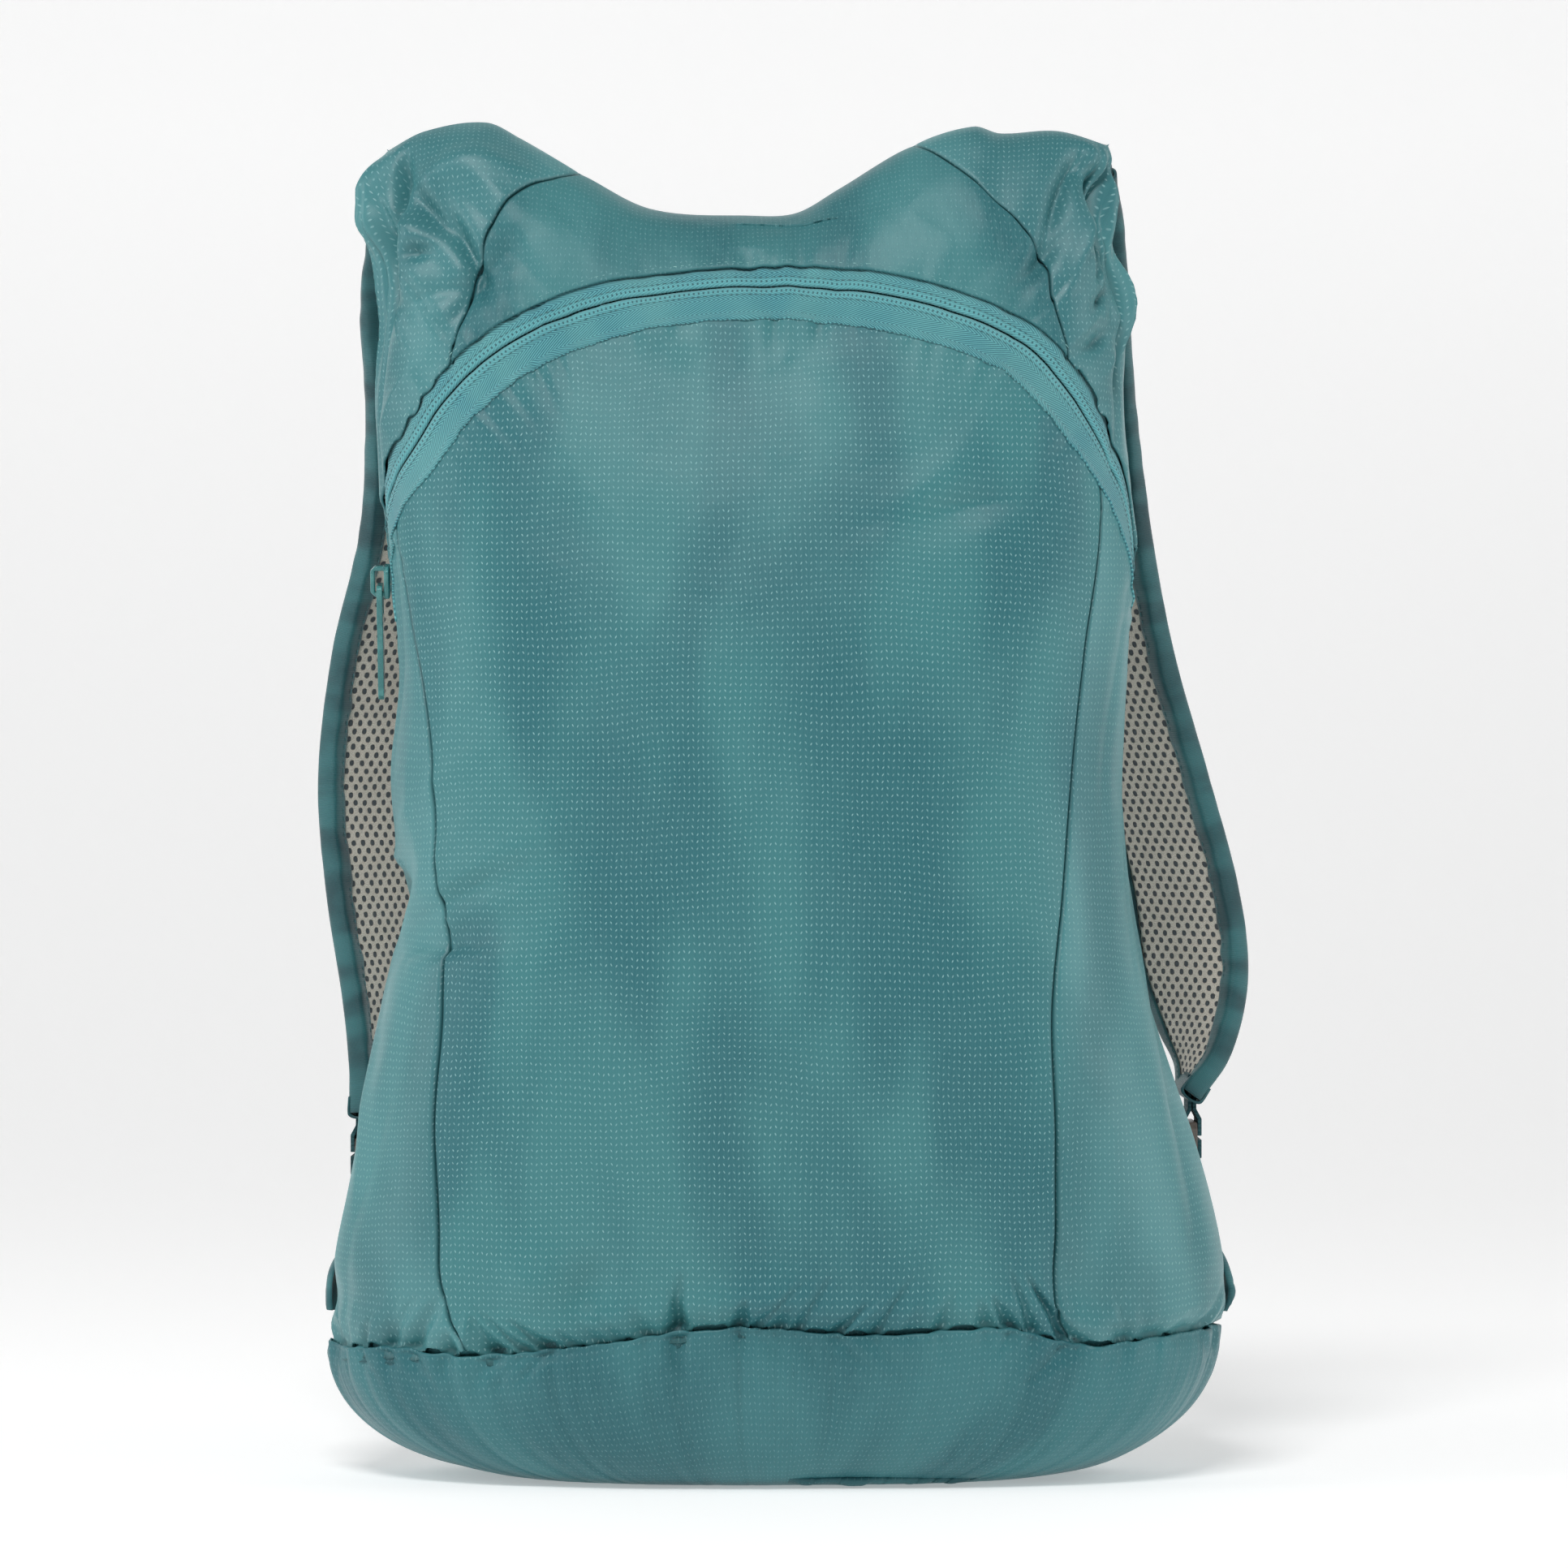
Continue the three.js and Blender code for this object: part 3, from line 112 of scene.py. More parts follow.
# Shares of the bag's height, half width and depth at each level of the body
sections = table("level left right front back", [
    (0.09, 0.992, 0.985, 0.53, 0.43), (0.117, 0.960, 0.992, 0.545, 0.43), (0.164, 0.967, 0.995, 0.56, 0.43),
    (0.248, 0.92, 0.935, 0.57, 0.425), (0.351, 0.86, 0.842, 0.565, 0.415), (0.42, 0.822, 0.805, 0.55, 0.405),
    (0.52, 0.84, 0.78, 0.535, 0.385), (0.6, 0.822, 0.785, 0.515, 0.355), (0.69, 0.845, 0.803, 0.47, 0.315),
    (0.79, 0.872, 0.785, 0.41, 0.265), (0.88, 0.868, 0.785, 0.34, 0.22), (0.95, 0.885, 0.755, 0.29, 0.19),
    (0.985, 0.872, 0.765, 0.26, 0.17), (1, 0.845, 0.75, 0.25, 0.16),
])
# Drop of the top edge, by share of the half width
topEdge = table("reach drop", [
    (-1, 0.022), (-0.9, 0.008), (-0.74, 0.002), (-0.65, 0.014), (-0.49, 0.04), (-0.31, 0.066), (-0.05, 0.071),
    (0.08, 0.069), (0.2, 0.052), (0.42, 0.019), (0.6, 0.005), (0.68, 0.010), (0.85, 0.008), (1, 0.018),
])
baseSeam = table("across rise", [
    (-2, 0.106), (-1, 0.100), (-0.58, 0.102), (-0.41, 0.097), (-0.26, 0.105), (-0.06, 0.119), (0.13, 0.114),
    (0.32, 0.118), (0.44, 0.105), (0.63, 0.109), (1, 0.111), (2, 0.106),
])
frontSeams = table("level left right", [
    (0.1, 0.673, 0.665), (0.125, 0.725, 0.622), (0.19, 0.752, 0.632), (0.26, 0.796, 0.668),
    (0.34, 0.82, 0.715), (0.43, 0.878, 0.797), (0.52, 0.876, 0.85), (0.62, 0.943, 0.87), (0.72, 0.967, 0.9),
])
zipSlit = table("across rise", [
    (-1.0, 0.630), (-0.99, 0.664), (-0.90, 0.703), (-0.66, 0.750), (-0.54, 0.790), (-0.41, 0.830),
    (-0.27, 0.857), (-0.09, 0.870), (0.1, 0.870), (0.27, 0.858), (0.43, 0.834), (0.55, 0.799),
    (0.68, 0.756), (0.84, 0.704), (0.98, 0.652),
])
yokeSeams = {
    "left": table("reach rise", [(-0.8, 0.838), (-0.735, 0.884), (-0.69, 0.916), (-0.615, 0.942)]),
    "right": table("reach rise", [
        (0.83, 0.824), (0.785, 0.861), (0.775, 0.892), (0.71, 0.922), (0.6, 0.951)]),
}
yokeTops = {"left": -0.49, "right": 0.42}

# Folds of the frame, then the finer creases. Each has a place, its reach along and beside, its lean from
# upright in degrees, its depth as a share of the bag's, and how crisp it is
folds = table("across level along beside lean depth crisp", [
    (-0.97, 0.425, 0.075, 0.018, 78, -0.045, 0), (-0.62, 0.405, 0.07, 0.012, 84, -0.028, 0),
    (-0.55, 0.452, 0.08, 0.02, 68, 0.03, 0), (-0.78, 0.915, 0.06, 0.03, 8, -0.06, 0),
    (-0.66, 0.90, 0.075, 0.018, -35, 0.05, 0), (-0.88, 0.95, 0.045, 0.02, -20, 0.04, 0),
    (0.82, 0.935, 0.06, 0.022, 18, -0.07, 0), (0.68, 0.93, 0.07, 0.025, 25, 0.035, 0),
    (0.84, 0.83, 0.03, 0.02, 30, -0.035, 0), (0.33, 0.71, 0.035, 0.016, 75, -0.022, 0),
    (0.86, 0.30, 0.09, 0.03, 25, -0.025, 0), (-0.25, 0.15, 0.022, 0.013, 10, -0.03, 0),
    (-0.33, 0.15, 0.022, 0.013, -8, 0.025, 0), (0.42, 0.15, 0.03, 0.014, -12, -0.03, 0),
    (0.0, 0.14, 0.018, 0.02, 0, 0.02, 0),
    (-0.60, 0.392, 0.07, 0.006, 82, -0.016, 1), (-0.56, 0.43, 0.08, 0.010, 64, -0.012, 1),
    (-0.50, 0.475, 0.09, 0.012, 55, -0.010, 1), (-0.66, 0.50, 0.08, 0.012, 62, 0.012, 0.5),
    (-0.96, 0.398, 0.05, 0.006, 60, -0.03, 1), (-0.92, 0.455, 0.05, 0.010, 100, 0.02, 1),
    (-0.64, 0.885, 0.07, 0.007, -38, -0.022, 1), (-0.71, 0.868, 0.06, 0.008, -28, 0.02, 1),
    (-0.80, 0.872, 0.05, 0.007, 12, -0.025, 1), (-0.88, 0.905, 0.05, 0.007, 4, -0.035, 1),
    (-0.72, 0.945, 0.05, 0.009, -62, 0.02, 1), (-0.95, 0.88, 0.06, 0.010, -6, 0.03, 1),
    (-0.70, 0.800, 0.06, 0.010, 60, 0.012, 0.5), (-0.84, 0.79, 0.07, 0.012, 20, -0.018, 0.5),
    (0.63, 0.905, 0.07, 0.007, 48, -0.02, 1), (0.70, 0.872, 0.06, 0.008, 52, 0.018, 1),
    (0.74, 0.905, 0.05, 0.007, 60, -0.016, 1), (0.88, 0.90, 0.05, 0.006, 8, -0.05, 1),
    (0.93, 0.87, 0.05, 0.008, 20, 0.03, 1), (0.76, 0.83, 0.05, 0.009, 60, 0.014, 1),
    (0.80, 0.790, 0.06, 0.012, 30, -0.014, 0.5), (0.345, 0.712, 0.045, 0.005, 82, -0.010, 1),
    (0.30, 0.735, 0.05, 0.016, 40, 0.008, 0), (0.72, 0.55, 0.10, 0.012, 12, -0.010, 0.5),
    (0.90, 0.47, 0.08, 0.012, 28, -0.02, 0.5), (0.95, 0.38, 0.09, 0.014, 40, 0.02, 0.5),
    (0.76, 0.24, 0.10, 0.014, 20, -0.012, 0.5), (-0.82, 0.62, 0.12, 0.014, 8, -0.012, 0.5),
    (-0.86, 0.30, 0.10, 0.016, -20, 0.016, 0.5), (-0.72, 0.22, 0.09, 0.014, 16, -0.012, 0.5),
    (0.12, 0.925, 0.05, 0.010, 20, -0.012, 0.5), (-0.20, 0.91, 0.05, 0.014, -30, 0.010, 0),
    (-0.42, 0.915, 0.07, 0.012, -48, -0.012, 0.5), (0.44, 0.91, 0.07, 0.012, 44, -0.010, 0.5),
    (-0.69, 0.945, 0.05, 0.013, 10, -0.07, 0.3), (-0.77, 0.905, 0.03, 0.012, -25, -0.05, 0.3),
    (-0.573, 0.932, 0.036, 0.0075, -40, -0.05, 0.5), (-0.495, 0.903, 0.032, 0.0065, -22, -0.05, 0.5),
    (-0.608, 0.902, 0.014, 0.006, 95, -0.035, 0.4), (-0.463, 0.88, 0.042, 0.009, 32, -0.035, 0.3),
    (-0.53, 0.96, 0.05, 0.012, 75, 0.025, 0.2), (-0.63, 0.922, 0.03, 0.009, -55, 0.035, 0.3),
    (-0.56, 0.868, 0.05, 0.010, 80, -0.02, 0.4), (0.70, 0.876, 0.02, 0.007, 60, -0.05, 0.4),
    (0.56, 0.939, 0.05, 0.008, 30, -0.045, 0.5), (0.63, 0.91, 0.04, 0.007, 40, 0.035, 0.5),
    (0.72, 0.95, 0.05, 0.012, 15, -0.06, 0.3), (0.66, 0.84, 0.03, 0.008, 65, -0.03, 0.5),
    (0.51, 0.90, 0.03, 0.007, 50, -0.03, 0.5), (-0.57, 0.393, 0.05, 0.005, 86, -0.022, 0.4),
    (-0.54, 0.428, 0.06, 0.009, 70, -0.022, 0.6), (-0.50, 0.462, 0.07, 0.010, 62, -0.018, 0.6),
    (-0.60, 0.412, 0.05, 0.008, 76, 0.02, 0.4),
])

strapTables = {
    "left": table("rise out back turn wide", [
        (0.966, 0.872, 0, 0, 1), (0.925, 0.893, 0.115, 2, 1), (0.872, 0.915, 0.165, 10, 1),
        (0.79, 0.905, 0.215, 26, 1), (0.7, 0.918, 0.249, 44, 1), (0.61, 0.98, 0.284, 56, 1),
        (0.515, 1.013, 0.294, 57, 1), (0.43, 0.995, 0.284, 59, 1), (0.35, 0.955, 0.244, 66, 0.88),
        (0.3, 0.935, 0.189, 76, 0.68), (0.262, 0.93, 0.165, 88, 0.48),
    ]),
    "right": table("rise out back turn wide", [
        (0.966, 0.765, 0, 0, 1), (0.925, 0.79, 0.115, 2, 1), (0.872, 0.803, 0.165, 10, 1),
        (0.79, 0.822, 0.215, 26, 1), (0.7, 0.855, 0.249, 44, 1), (0.61, 0.905, 0.284, 56, 1),
        (0.515, 0.985, 0.294, 58, 1), (0.43, 1.053, 0.284, 56, 1), (0.365, 1.073, 0.254, 56, 0.97),
        (0.31, 1.035, 0.215, 68, 0.76), (0.274, 0.96, 0.165, 88, 0.48),
    ]),
}
sides = {"left": -1, "right": 1}


def smoothStep(value, low, high):
    t = np.clip((value - low) / (high - low), 0, 1)
    return t * t * (3 - 2 * t)


# Distances along a line of points, from its first
def runAlong(points):
    return np.concatenate([[0], np.cumsum(np.linalg.norm(np.diff(points, axis=0), axis=-1))])


# A grid with two numbers at each place, from arrays that are stretched to one shape
def pairs(first, second):
    return np.stack(np.broadcast_arrays(first, second), -1)


# A smooth curve through two columns of a table
def tableCurve(rows, key, column):
    places, values = rows[key], rows[column]
    order = np.arange(len(places))
    before, after = np.maximum(order - 1, 0), np.minimum(order + 1, len(places) - 1)
    slopes = (values[after] - values[before]) / (places[after] - places[before])

    def read(at):
        i = np.clip(np.searchsorted(places, at) - 1, 0, len(places) - 2)
        span = places[i + 1] - places[i]
        t = np.clip((at - places[i]) / span, 0, 1)
        rise = values[i] + (values[i + 1] - values[i]) * t * t * (3 - 2 * t)
        return rise + t * (1 - t) ** 2 * span * slopes[i] + t * t * (t - 1) * span * slopes[i + 1]

    return read


# The same rows run through by their order, 0 at the first and 1 at the last
def runCurve(rows, column):
    return tableCurve({"at": np.linspace(0, 1, len(rows[column])), "value": rows[column]}, "at", "value")


halfLeft, halfRight = tableCurve(sections, "level", "left"), tableCurve(sections, "level", "right")
depthFront, depthBack = tableCurve(sections, "level", "front"), tableCurve(sections, "level", "back")
edgeDrop = tableCurve(topEdge, "reach", "drop")
seamRise = tableCurve(baseSeam, "across", "rise")
seamReach = {side: tableCurve(frontSeams, "level", side) for side in sides}


def around(across):  # share of the half width and depth reached at a share of a quarter turn
    wide, deep = np.sin(across * math.pi / 2), np.cos(across * math.pi / 2)
    power = np.abs(wide) ** bag["squareness"] + np.abs(deep) ** bag["squareness"]
    size = power ** (-1 / bag["squareness"])
    return wide * size, deep * size


def acrossAt(reach):
    deep = (1 - np.abs(reach) ** bag["squareness"]) ** (1 / bag["squareness"])
    return np.arctan2(reach, deep) * 2 / math.pi


# A place across brought to between -2 and 2, since 4 of them make a lap
def withinLap(across):
    return (across + 2) % 4 - 2


def topFade(level):
    return smoothStep(level, bag["edgeDropStart"], 1)


def levelAt(across, rise):
    drop = edgeDrop(around(across)[0])
    level = rise + 0 * drop
    for _ in range(30):
        level = rise + drop * topFade(level)
    return level


# The plain stuffed body. Across is 0 at the front, 1 and -1 at the flanks and 2 at the back, and level 1 is
# the top edge
def bodyPoint(across, level):
    over = level > 1
    height = np.where(over, 2 - level, level)
    turn = np.where(over, np.where(across < 0, -1, 1) * (2 - np.abs(across)), across)
    wide, deep = around(withinLap(turn))
    half = np.where(wide < 0, halfLeft(height), halfRight(height)) * bag["halfWidth"]
    past = np.clip((height - bag["crownStart"]) / (1 - bag["crownStart"]), 0, 1)
    crown = (1 - past ** bag["crownRoundness"]) ** (1 / bag["crownRoundness"])
    depth = np.where(deep > 0, depthFront(height), depthBack(height)) * bag["depth"] * crown
    rise = (height - edgeDrop(wide) * topFade(height)) * bag["height"]
    return np.stack([wide * half, -deep * depth, rise], axis=-1)


def unit(vectors):
    return vectors / np.maximum(np.linalg.norm(vectors, axis=-1, keepdims=True), 1e-12)


def bodyNormal(across, level):
    turnStep, levelStep = 0.004, 0.002
    level = np.minimum(level, 1)
    alongTurn = bodyPoint(across + turnStep, level) - bodyPoint(across - turnStep, level)
    alongLevel = bodyPoint(across, level + levelStep) - bodyPoint(across, level - levelStep)
    return unit(np.cross(alongTurn, alongLevel))


# Distances along the cloth from the front's middle and from the foot, looked up from a grid worked out once
def flattenBody(columns=321, rows=189, lowest=0.06):
    turns, levels = np.linspace(-2, 2, columns), np.linspace(lowest, 1, rows)
    turn, level = np.meshgrid(turns, levels, indexing="ij")
    points = bodyPoint(turn, level)
    acrossSteps = np.linalg.norm(np.diff(points, axis=0), axis=-1)
    upSteps = np.linalg.norm(np.diff(points, axis=1), axis=-1)
    sideways = np.concatenate([np.zeros((1, len(levels))), np.cumsum(acrossSteps, axis=0)])
    sideways -= sideways[len(turns) // 2]
    upward = np.concatenate([np.zeros((len(turns), 1)), np.cumsum(upSteps, axis=1)], axis=1)
    return turns, levels, np.stack([sideways, upward], axis=-1)


flatTurns, flatLevels, flatPlaces = flattenBody()
footLevel = 0.11  # where the base seam's distances along the cloth are read


def flatPlace(across, level):
    laps = np.floor((np.asarray(across) + 2) / 4)
    across = np.asarray(across) - 4 * laps
    x = np.clip((across - flatTurns[0]) / (flatTurns[1] - flatTurns[0]), 0, len(flatTurns) - 1.001)
    y = np.clip((level - flatLevels[0]) / (flatLevels[1] - flatLevels[0]), 0, len(flatLevels) - 1.001)
    i, j = x.astype(int), y.astype(int)
    s, t = (x - i)[..., None], (y - j)[..., None]
    low = flatPlaces[i, j] * (1 - s) + flatPlaces[i + 1, j] * s
    high = flatPlaces[i, j + 1] * (1 - s) + flatPlaces[i + 1, j + 1] * s
    lap = flatPlaces[-1, j, 0] - flatPlaces[0, j, 0]
    place = low * (1 - t) + high * t
    place[..., 0] += laps * lap
    return place


# Smooth noise from -1 to 1 on a grid of seeded values
def softNoise(u, v, seed):
    size = 64
    values = np.random.default_rng(seed).uniform(-1, 1, (size, size))
    i, j = np.floor(u).astype(int), np.floor(v).astype(int)
    s, t = smoothStep(u - i, 0, 1), smoothStep(v - j, 0, 1)
    a, b = values[i % size, j % size], values[(i + 1) % size, j % size]
    c, d = values[i % size, (j + 1) % size], values[(i + 1) % size, (j + 1) % size]
    return (a * (1 - s) + b * s) * (1 - t) + (c * (1 - s) + d * s) * t


# The same noise over the whole body, without a join at the back
def bodyNoise(points, scale, seed):
    x, y, z = (points[..., i] / scale for i in range(3))
    first = softNoise(x + 0.6 * y, z / 1.3, seed)
    return 0.75 * (first + softNoise(y - 0.5 * x, z / 1.3 + 0.3 * x, seed + 50))


print("cloth: lines of the seams and the zip")
slitAcross, slitRise = runCurve(zipSlit, "across"), runCurve(zipSlit, "rise")


def slitPlace(t):
    across = slitAcross(t)
    return across, levelAt(across, slitRise(t))


# A place on the body at a distance from another, square to a direction along the cloth
def besidePlace(across, level, ahead, distance):
    steps, turnStep, levelStep = 4, 0.003, 0.001
    for _ in range(steps):
        here = bodyPoint(across, level)
        alongTurn = bodyPoint(across + turnStep, level) - here
        alongLevel = bodyPoint(across, level + levelStep) - here
        side = unit(np.cross(unit(np.cross(alongTurn, alongLevel)), ahead)) * distance / steps
        turnTurn, levelLevel = (alongTurn ** 2).sum(-1), (alongLevel ** 2).sum(-1)
        turnLevel = (alongTurn * alongLevel).sum(-1)
        spread = turnTurn * levelLevel - turnLevel ** 2
        sideTurn, sideLevel = (side * alongTurn).sum(-1), (side * alongLevel).sum(-1)
        across = across + turnStep * (sideTurn * levelLevel - sideLevel * turnLevel) / spread
        level = level + levelStep * (sideLevel * turnTurn - sideTurn * turnLevel) / spread
    return across, level


def tapeLine(distance):  # beside the slit, above it where the distance is positive
    def line(t):
        t = np.asarray(t, float)
        before, after = slitPlace(np.maximum(t - 0.004, 0)), slitPlace(np.minimum(t + 0.004, 1))
        return besidePlace(*slitPlace(t), bodyPoint(*after) - bodyPoint(*before), distance)
    return line


upperEdge, lowerEdge = tapeLine(zipper["upperTape"]), tapeLine(-zipper["lowerTape"])


def crossing(value, low, high):  # where a function of a share crosses zero
    startSign = np.sign(value(low))
    for _ in range(40):
        middle = (low + high) / 2
        if np.sign(value(middle)) == startSign:
            low = middle
        else:
            high = middle
    return (low + high) / 2


def frontSeamAcross(side, level):
    return acrossAt(sides[side] * seamReach[side](level))


def seamOffset(side):
    def offset(t):
        across, level = lowerEdge(t)
        return across - frontSeamAcross(side, level)
    return offset


lowerShare = {
    "left": crossing(seamOffset("left"), 0.03, 0.4),
    "right": crossing(seamOffset("right"), 0.97, 0.6),
}
upperShare = {
    "left": crossing(lambda t: upperEdge(t)[0] - acrossAt(yokeSeams["left"]["reach"][0]), 0.03, 0.5),
    "right": crossing(lambda t: upperEdge(t)[0] - acrossAt(yokeSeams["right"]["reach"][0]), 0.5, 0.97),
}


def spanOf(line, start, end):
    return lambda share: line(start + (end - start) * share)


def straight(start, end):
    return lambda share: tuple(a + (b - a) * share for a, b in zip(start, end))


def joined(parts):  # several lines end to end, each with its weight
    total = sum(weight for weight, _ in parts)

    def line(share):
        share = np.asarray(share, float)
        across, level = np.zeros_like(share), np.zeros_like(share)
        start = 0
        for i, (weight, part) in enumerate(parts):
            end = start + weight / total
            last = i == len(parts) - 1
            here = (share >= start - 1e-9) & ((share < end) | last)
            local = np.clip((share - start) / (end - start), 0, 1)
            partAcross, partLevel = part(local)
            across, level = np.where(here, partAcross, across), np.where(here, partLevel, level)
            start = end
        return across, level

    return line


def baseSeamLine(start, end):
    def line(share):
        across = start + (end - start) * np.asarray(share, float)
        wrapped = withinLap(across)
        return across, levelAt(wrapped, seamRise(wrapped))
    return line


def frontSeamLine(side):
    foot = float(frontSeamAcross(side, frontSeams["level"][0]))
    low = float(levelAt(foot, seamRise(foot)))
    endAcross, endLevel = (float(x) for x in lowerEdge(lowerShare[side]))

    def line(share):
        share = np.asarray(share, float)
        level = low + (endLevel - low) * share
        across = frontSeamAcross(side, level)
        across = across + (foot - frontSeamAcross(side, low)) * np.clip(1 - share * 12, 0, 1)
        return across + (endAcross - frontSeamAcross(side, endLevel)) * np.clip(share * 12 - 11, 0, 1), level
    return line


def yokeSeamLine(side):
    rows = yokeSeams[side]
    across = acrossAt(rows["reach"][1:])
    startAcross, startLevel = upperEdge(upperShare[side])
    places = {
        "across": np.concatenate([[startAcross], across, [acrossAt(yokeTops[side])]]),
        "level": np.concatenate([[startLevel], levelAt(across, rows["rise"][1:]), [1]]),
    }
    acrossCurve, levelCurve = runCurve(places, "across"), runCurve(places, "level")
    return lambda share: (acrossCurve(share), levelCurve(share))


frontSeam = {side: frontSeamLine(side) for side in sides}
yokeSeam = {side: yokeSeamLine(side) for side in sides}
backSeamTop = {
    "left": (-bag["backSeam"], float(upperEdge(0)[1])),
    "right": (bag["backSeam"], float(upperEdge(1)[1])),
}


def ridge(start, end):
    return straight((start, 1), (end, 1))


# Gathers of the cloth above the base seam, drawn up in some stretches more than in others
gathers = {
    "seed": 11,
    "count": 124,
    "width": (1.7 * mm, 4.2 * mm),
    "height": (6 * mm, 21 * mm),
    "depth": (2.6 * mm, 6.6 * mm),
    "lean": 0.8,
    "valleys": 0.72,  # share of them that run inwards, and the others stand out half as far
    "below": 0.4,  # how much of them the base takes up
    # how far the cloth bellies out above the seam, how high and over what reach
    "piping": 1.6 * mm,
    "pipingRise": 7 * mm,
    "pipingReach": 5 * mm,
}
gatherStrength = table("across strength", [
    (-2, 0.35), (-1.0, 0.5), (-0.85, 0.35), (-0.62, 0.5), (-0.40, 1), (-0.30, 1), (-0.22, 0.6), (-0.10, 1),
    (0.03, 0.9), (0.12, 0.6), (0.28, 0.55), (0.38, 1), (0.47, 0.9), (0.6, 0.4), (1.0, 0.4), (2, 0.35),
])
zipPuckers = {
    "seed": 5,
    "pitch": 4.2 * mm,
    "reach": 6 * mm,
    "depth": 1.2 * mm,
    "lowerDepth": 1.5 * mm,
    "swell": 38 * mm,
    "swellSeed": 8,
    "waves": 400,
    "block": 4000,  # places that are measured against the slit at a time
    # the part of the body that is near enough to the slit to be measured
    "lowest": 0.58,
    "behind": 1.4,
}
billow = {
    "seed": 3,
    "scale": 62 * mm,
    "depth": 1.7 * mm,
    "fineScale": 24 * mm,
    "fineDepth": 0.5 * mm,
    "warp": 6 * mm,
    "warpScale": 30 * mm,
}
crumple = {"seed": 21, "scale": 24 * mm, "depth": 4.3 * mm, "fineScale": 10 * mm, "fineDepth": 1.3 * mm}
# Where parts of the body begin and are fully reached, across or by level
zones = {"flank": (0.55, 0.75), "behind": (1.25, 1.45), "shoulder": (0.8, 0.88), "top": (0.78, 0.9),
         "ridge": (0.97, 1)}
# Places at the flanks where the base seam stands out and isn't tucked in
corner = {"across": 0.97, "width": 0.05, "lift": 1.3}

slitShares = np.linspace(0, 1, 360)
slitFlat = flatPlace(*slitPlace(slitShares))
slitRun = runAlong(slitFlat)


def foldDepth(across, level):
    depth = np.zeros_like(across)
    for middle, height, length, width, lean, deep, crispness in zip(*folds.values()):
        lean = math.radians(lean)
        sideways, upward = (across - middle) * bag["foldTurn"], level - height
        along = (upward * math.cos(lean) + sideways * math.sin(lean)) / length
        beside = (sideways * math.cos(lean) - upward * math.sin(lean)) / width
        soft, crisp = np.exp(-beside ** 2), np.exp(-np.sqrt(beside ** 2 + 0.02) * 1.4)
        depth += deep * bag["depth"] * np.exp(-along ** 2) * (soft * (1 - crispness) + crisp * crispness)
    return depth


# Valleys that run away from the base seam, over places given sideways and by how far they lie from the seam
def gatherDepth(flat, toSeam):
    random = np.random.default_rng(gathers["seed"])
    strength = tableCurve(gatherStrength, "across", "strength")
    depth = np.zeros(np.broadcast(flat, toSeam).shape)
    for at in np.linspace(-1.98, 1.98, gathers["count"]):
        at = at + random.uniform(-0.012, 0.012)
        width, height, deep = (random.uniform(*gathers[key]) for key in ("width", "height", "depth"))
        lean = (random.uniform(-1, 1) * 0.5 + math.sin(9 * at + 1)) * gathers["lean"]
        sign = -1 if random.uniform() < gathers["valleys"] else 0.5
        middle = flatPlace(np.array(at), np.array(footLevel))[0]
        rise = np.clip(1 - toSeam / height, 0, 1) * smoothStep(toSeam, -0.5 * mm, 1.5 * mm)
        beside = (flat - middle - lean * toSeam) / (width * (0.4 + 0.6 * rise))
        depth += sign * deep * strength(np.array(at)) * rise ** 0.8 * np.exp(-beside ** 2)
    return depth


def zipPuckerDepth(across, level):
    random = np.random.default_rng(zipPuckers["seed"])
    flat = flatPlace(across, level)
    depth = np.zeros(across.shape)
    reached = (level > zipPuckers["lowest"]) & (np.abs(across) < zipPuckers["behind"])
    near = flat[reached]
    if not len(near):
        return depth
    distances = np.empty(len(near))
    nearest = np.empty(len(near), int)
    for start in range(0, len(near), zipPuckers["block"]):
        block = slice(start, start + zipPuckers["block"])
        gaps = np.linalg.norm(near[block][:, None] - slitFlat[None], axis=-1)
        nearest[block] = gaps.argmin(1)
        distances[block] = gaps.min(1)
    following = slitFlat[np.minimum(nearest + 1, len(slitFlat) - 1)] - slitFlat[np.maximum(nearest - 1, 0)]
    offset = near - slitFlat[nearest]
    above = following[:, 0] * offset[:, 1] - following[:, 1] * offset[:, 0] > 0
    edge = np.where(above, zipper["upperTape"], zipper["lowerTape"])
    past = distances - edge
    run = slitRun[nearest] + (offset * unit(following)).sum(-1)
    values = random.uniform(-1, 1, zipPuckers["waves"])
    x = np.clip(run / zipPuckers["pitch"], 0, zipPuckers["waves"] - 2)
    i = x.astype(int)
    t = x - i
    t = t * t * (3 - 2 * t)
    wave = values[i] * (1 - t) + values[i + 1] * t
    swell = 0.55 + 0.45 * softNoise(run / zipPuckers["swell"], 0, zipPuckers["swellSeed"])
    deep = np.where(above, zipPuckers["depth"], zipPuckers["lowerDepth"])
    reach = zipPuckers["reach"] * (0.7 + 0.6 * np.abs(values[i]))
    depth[reached] = deep * wave * swell * np.where(past > 0, np.exp(-past / reach), 0)
    return depth


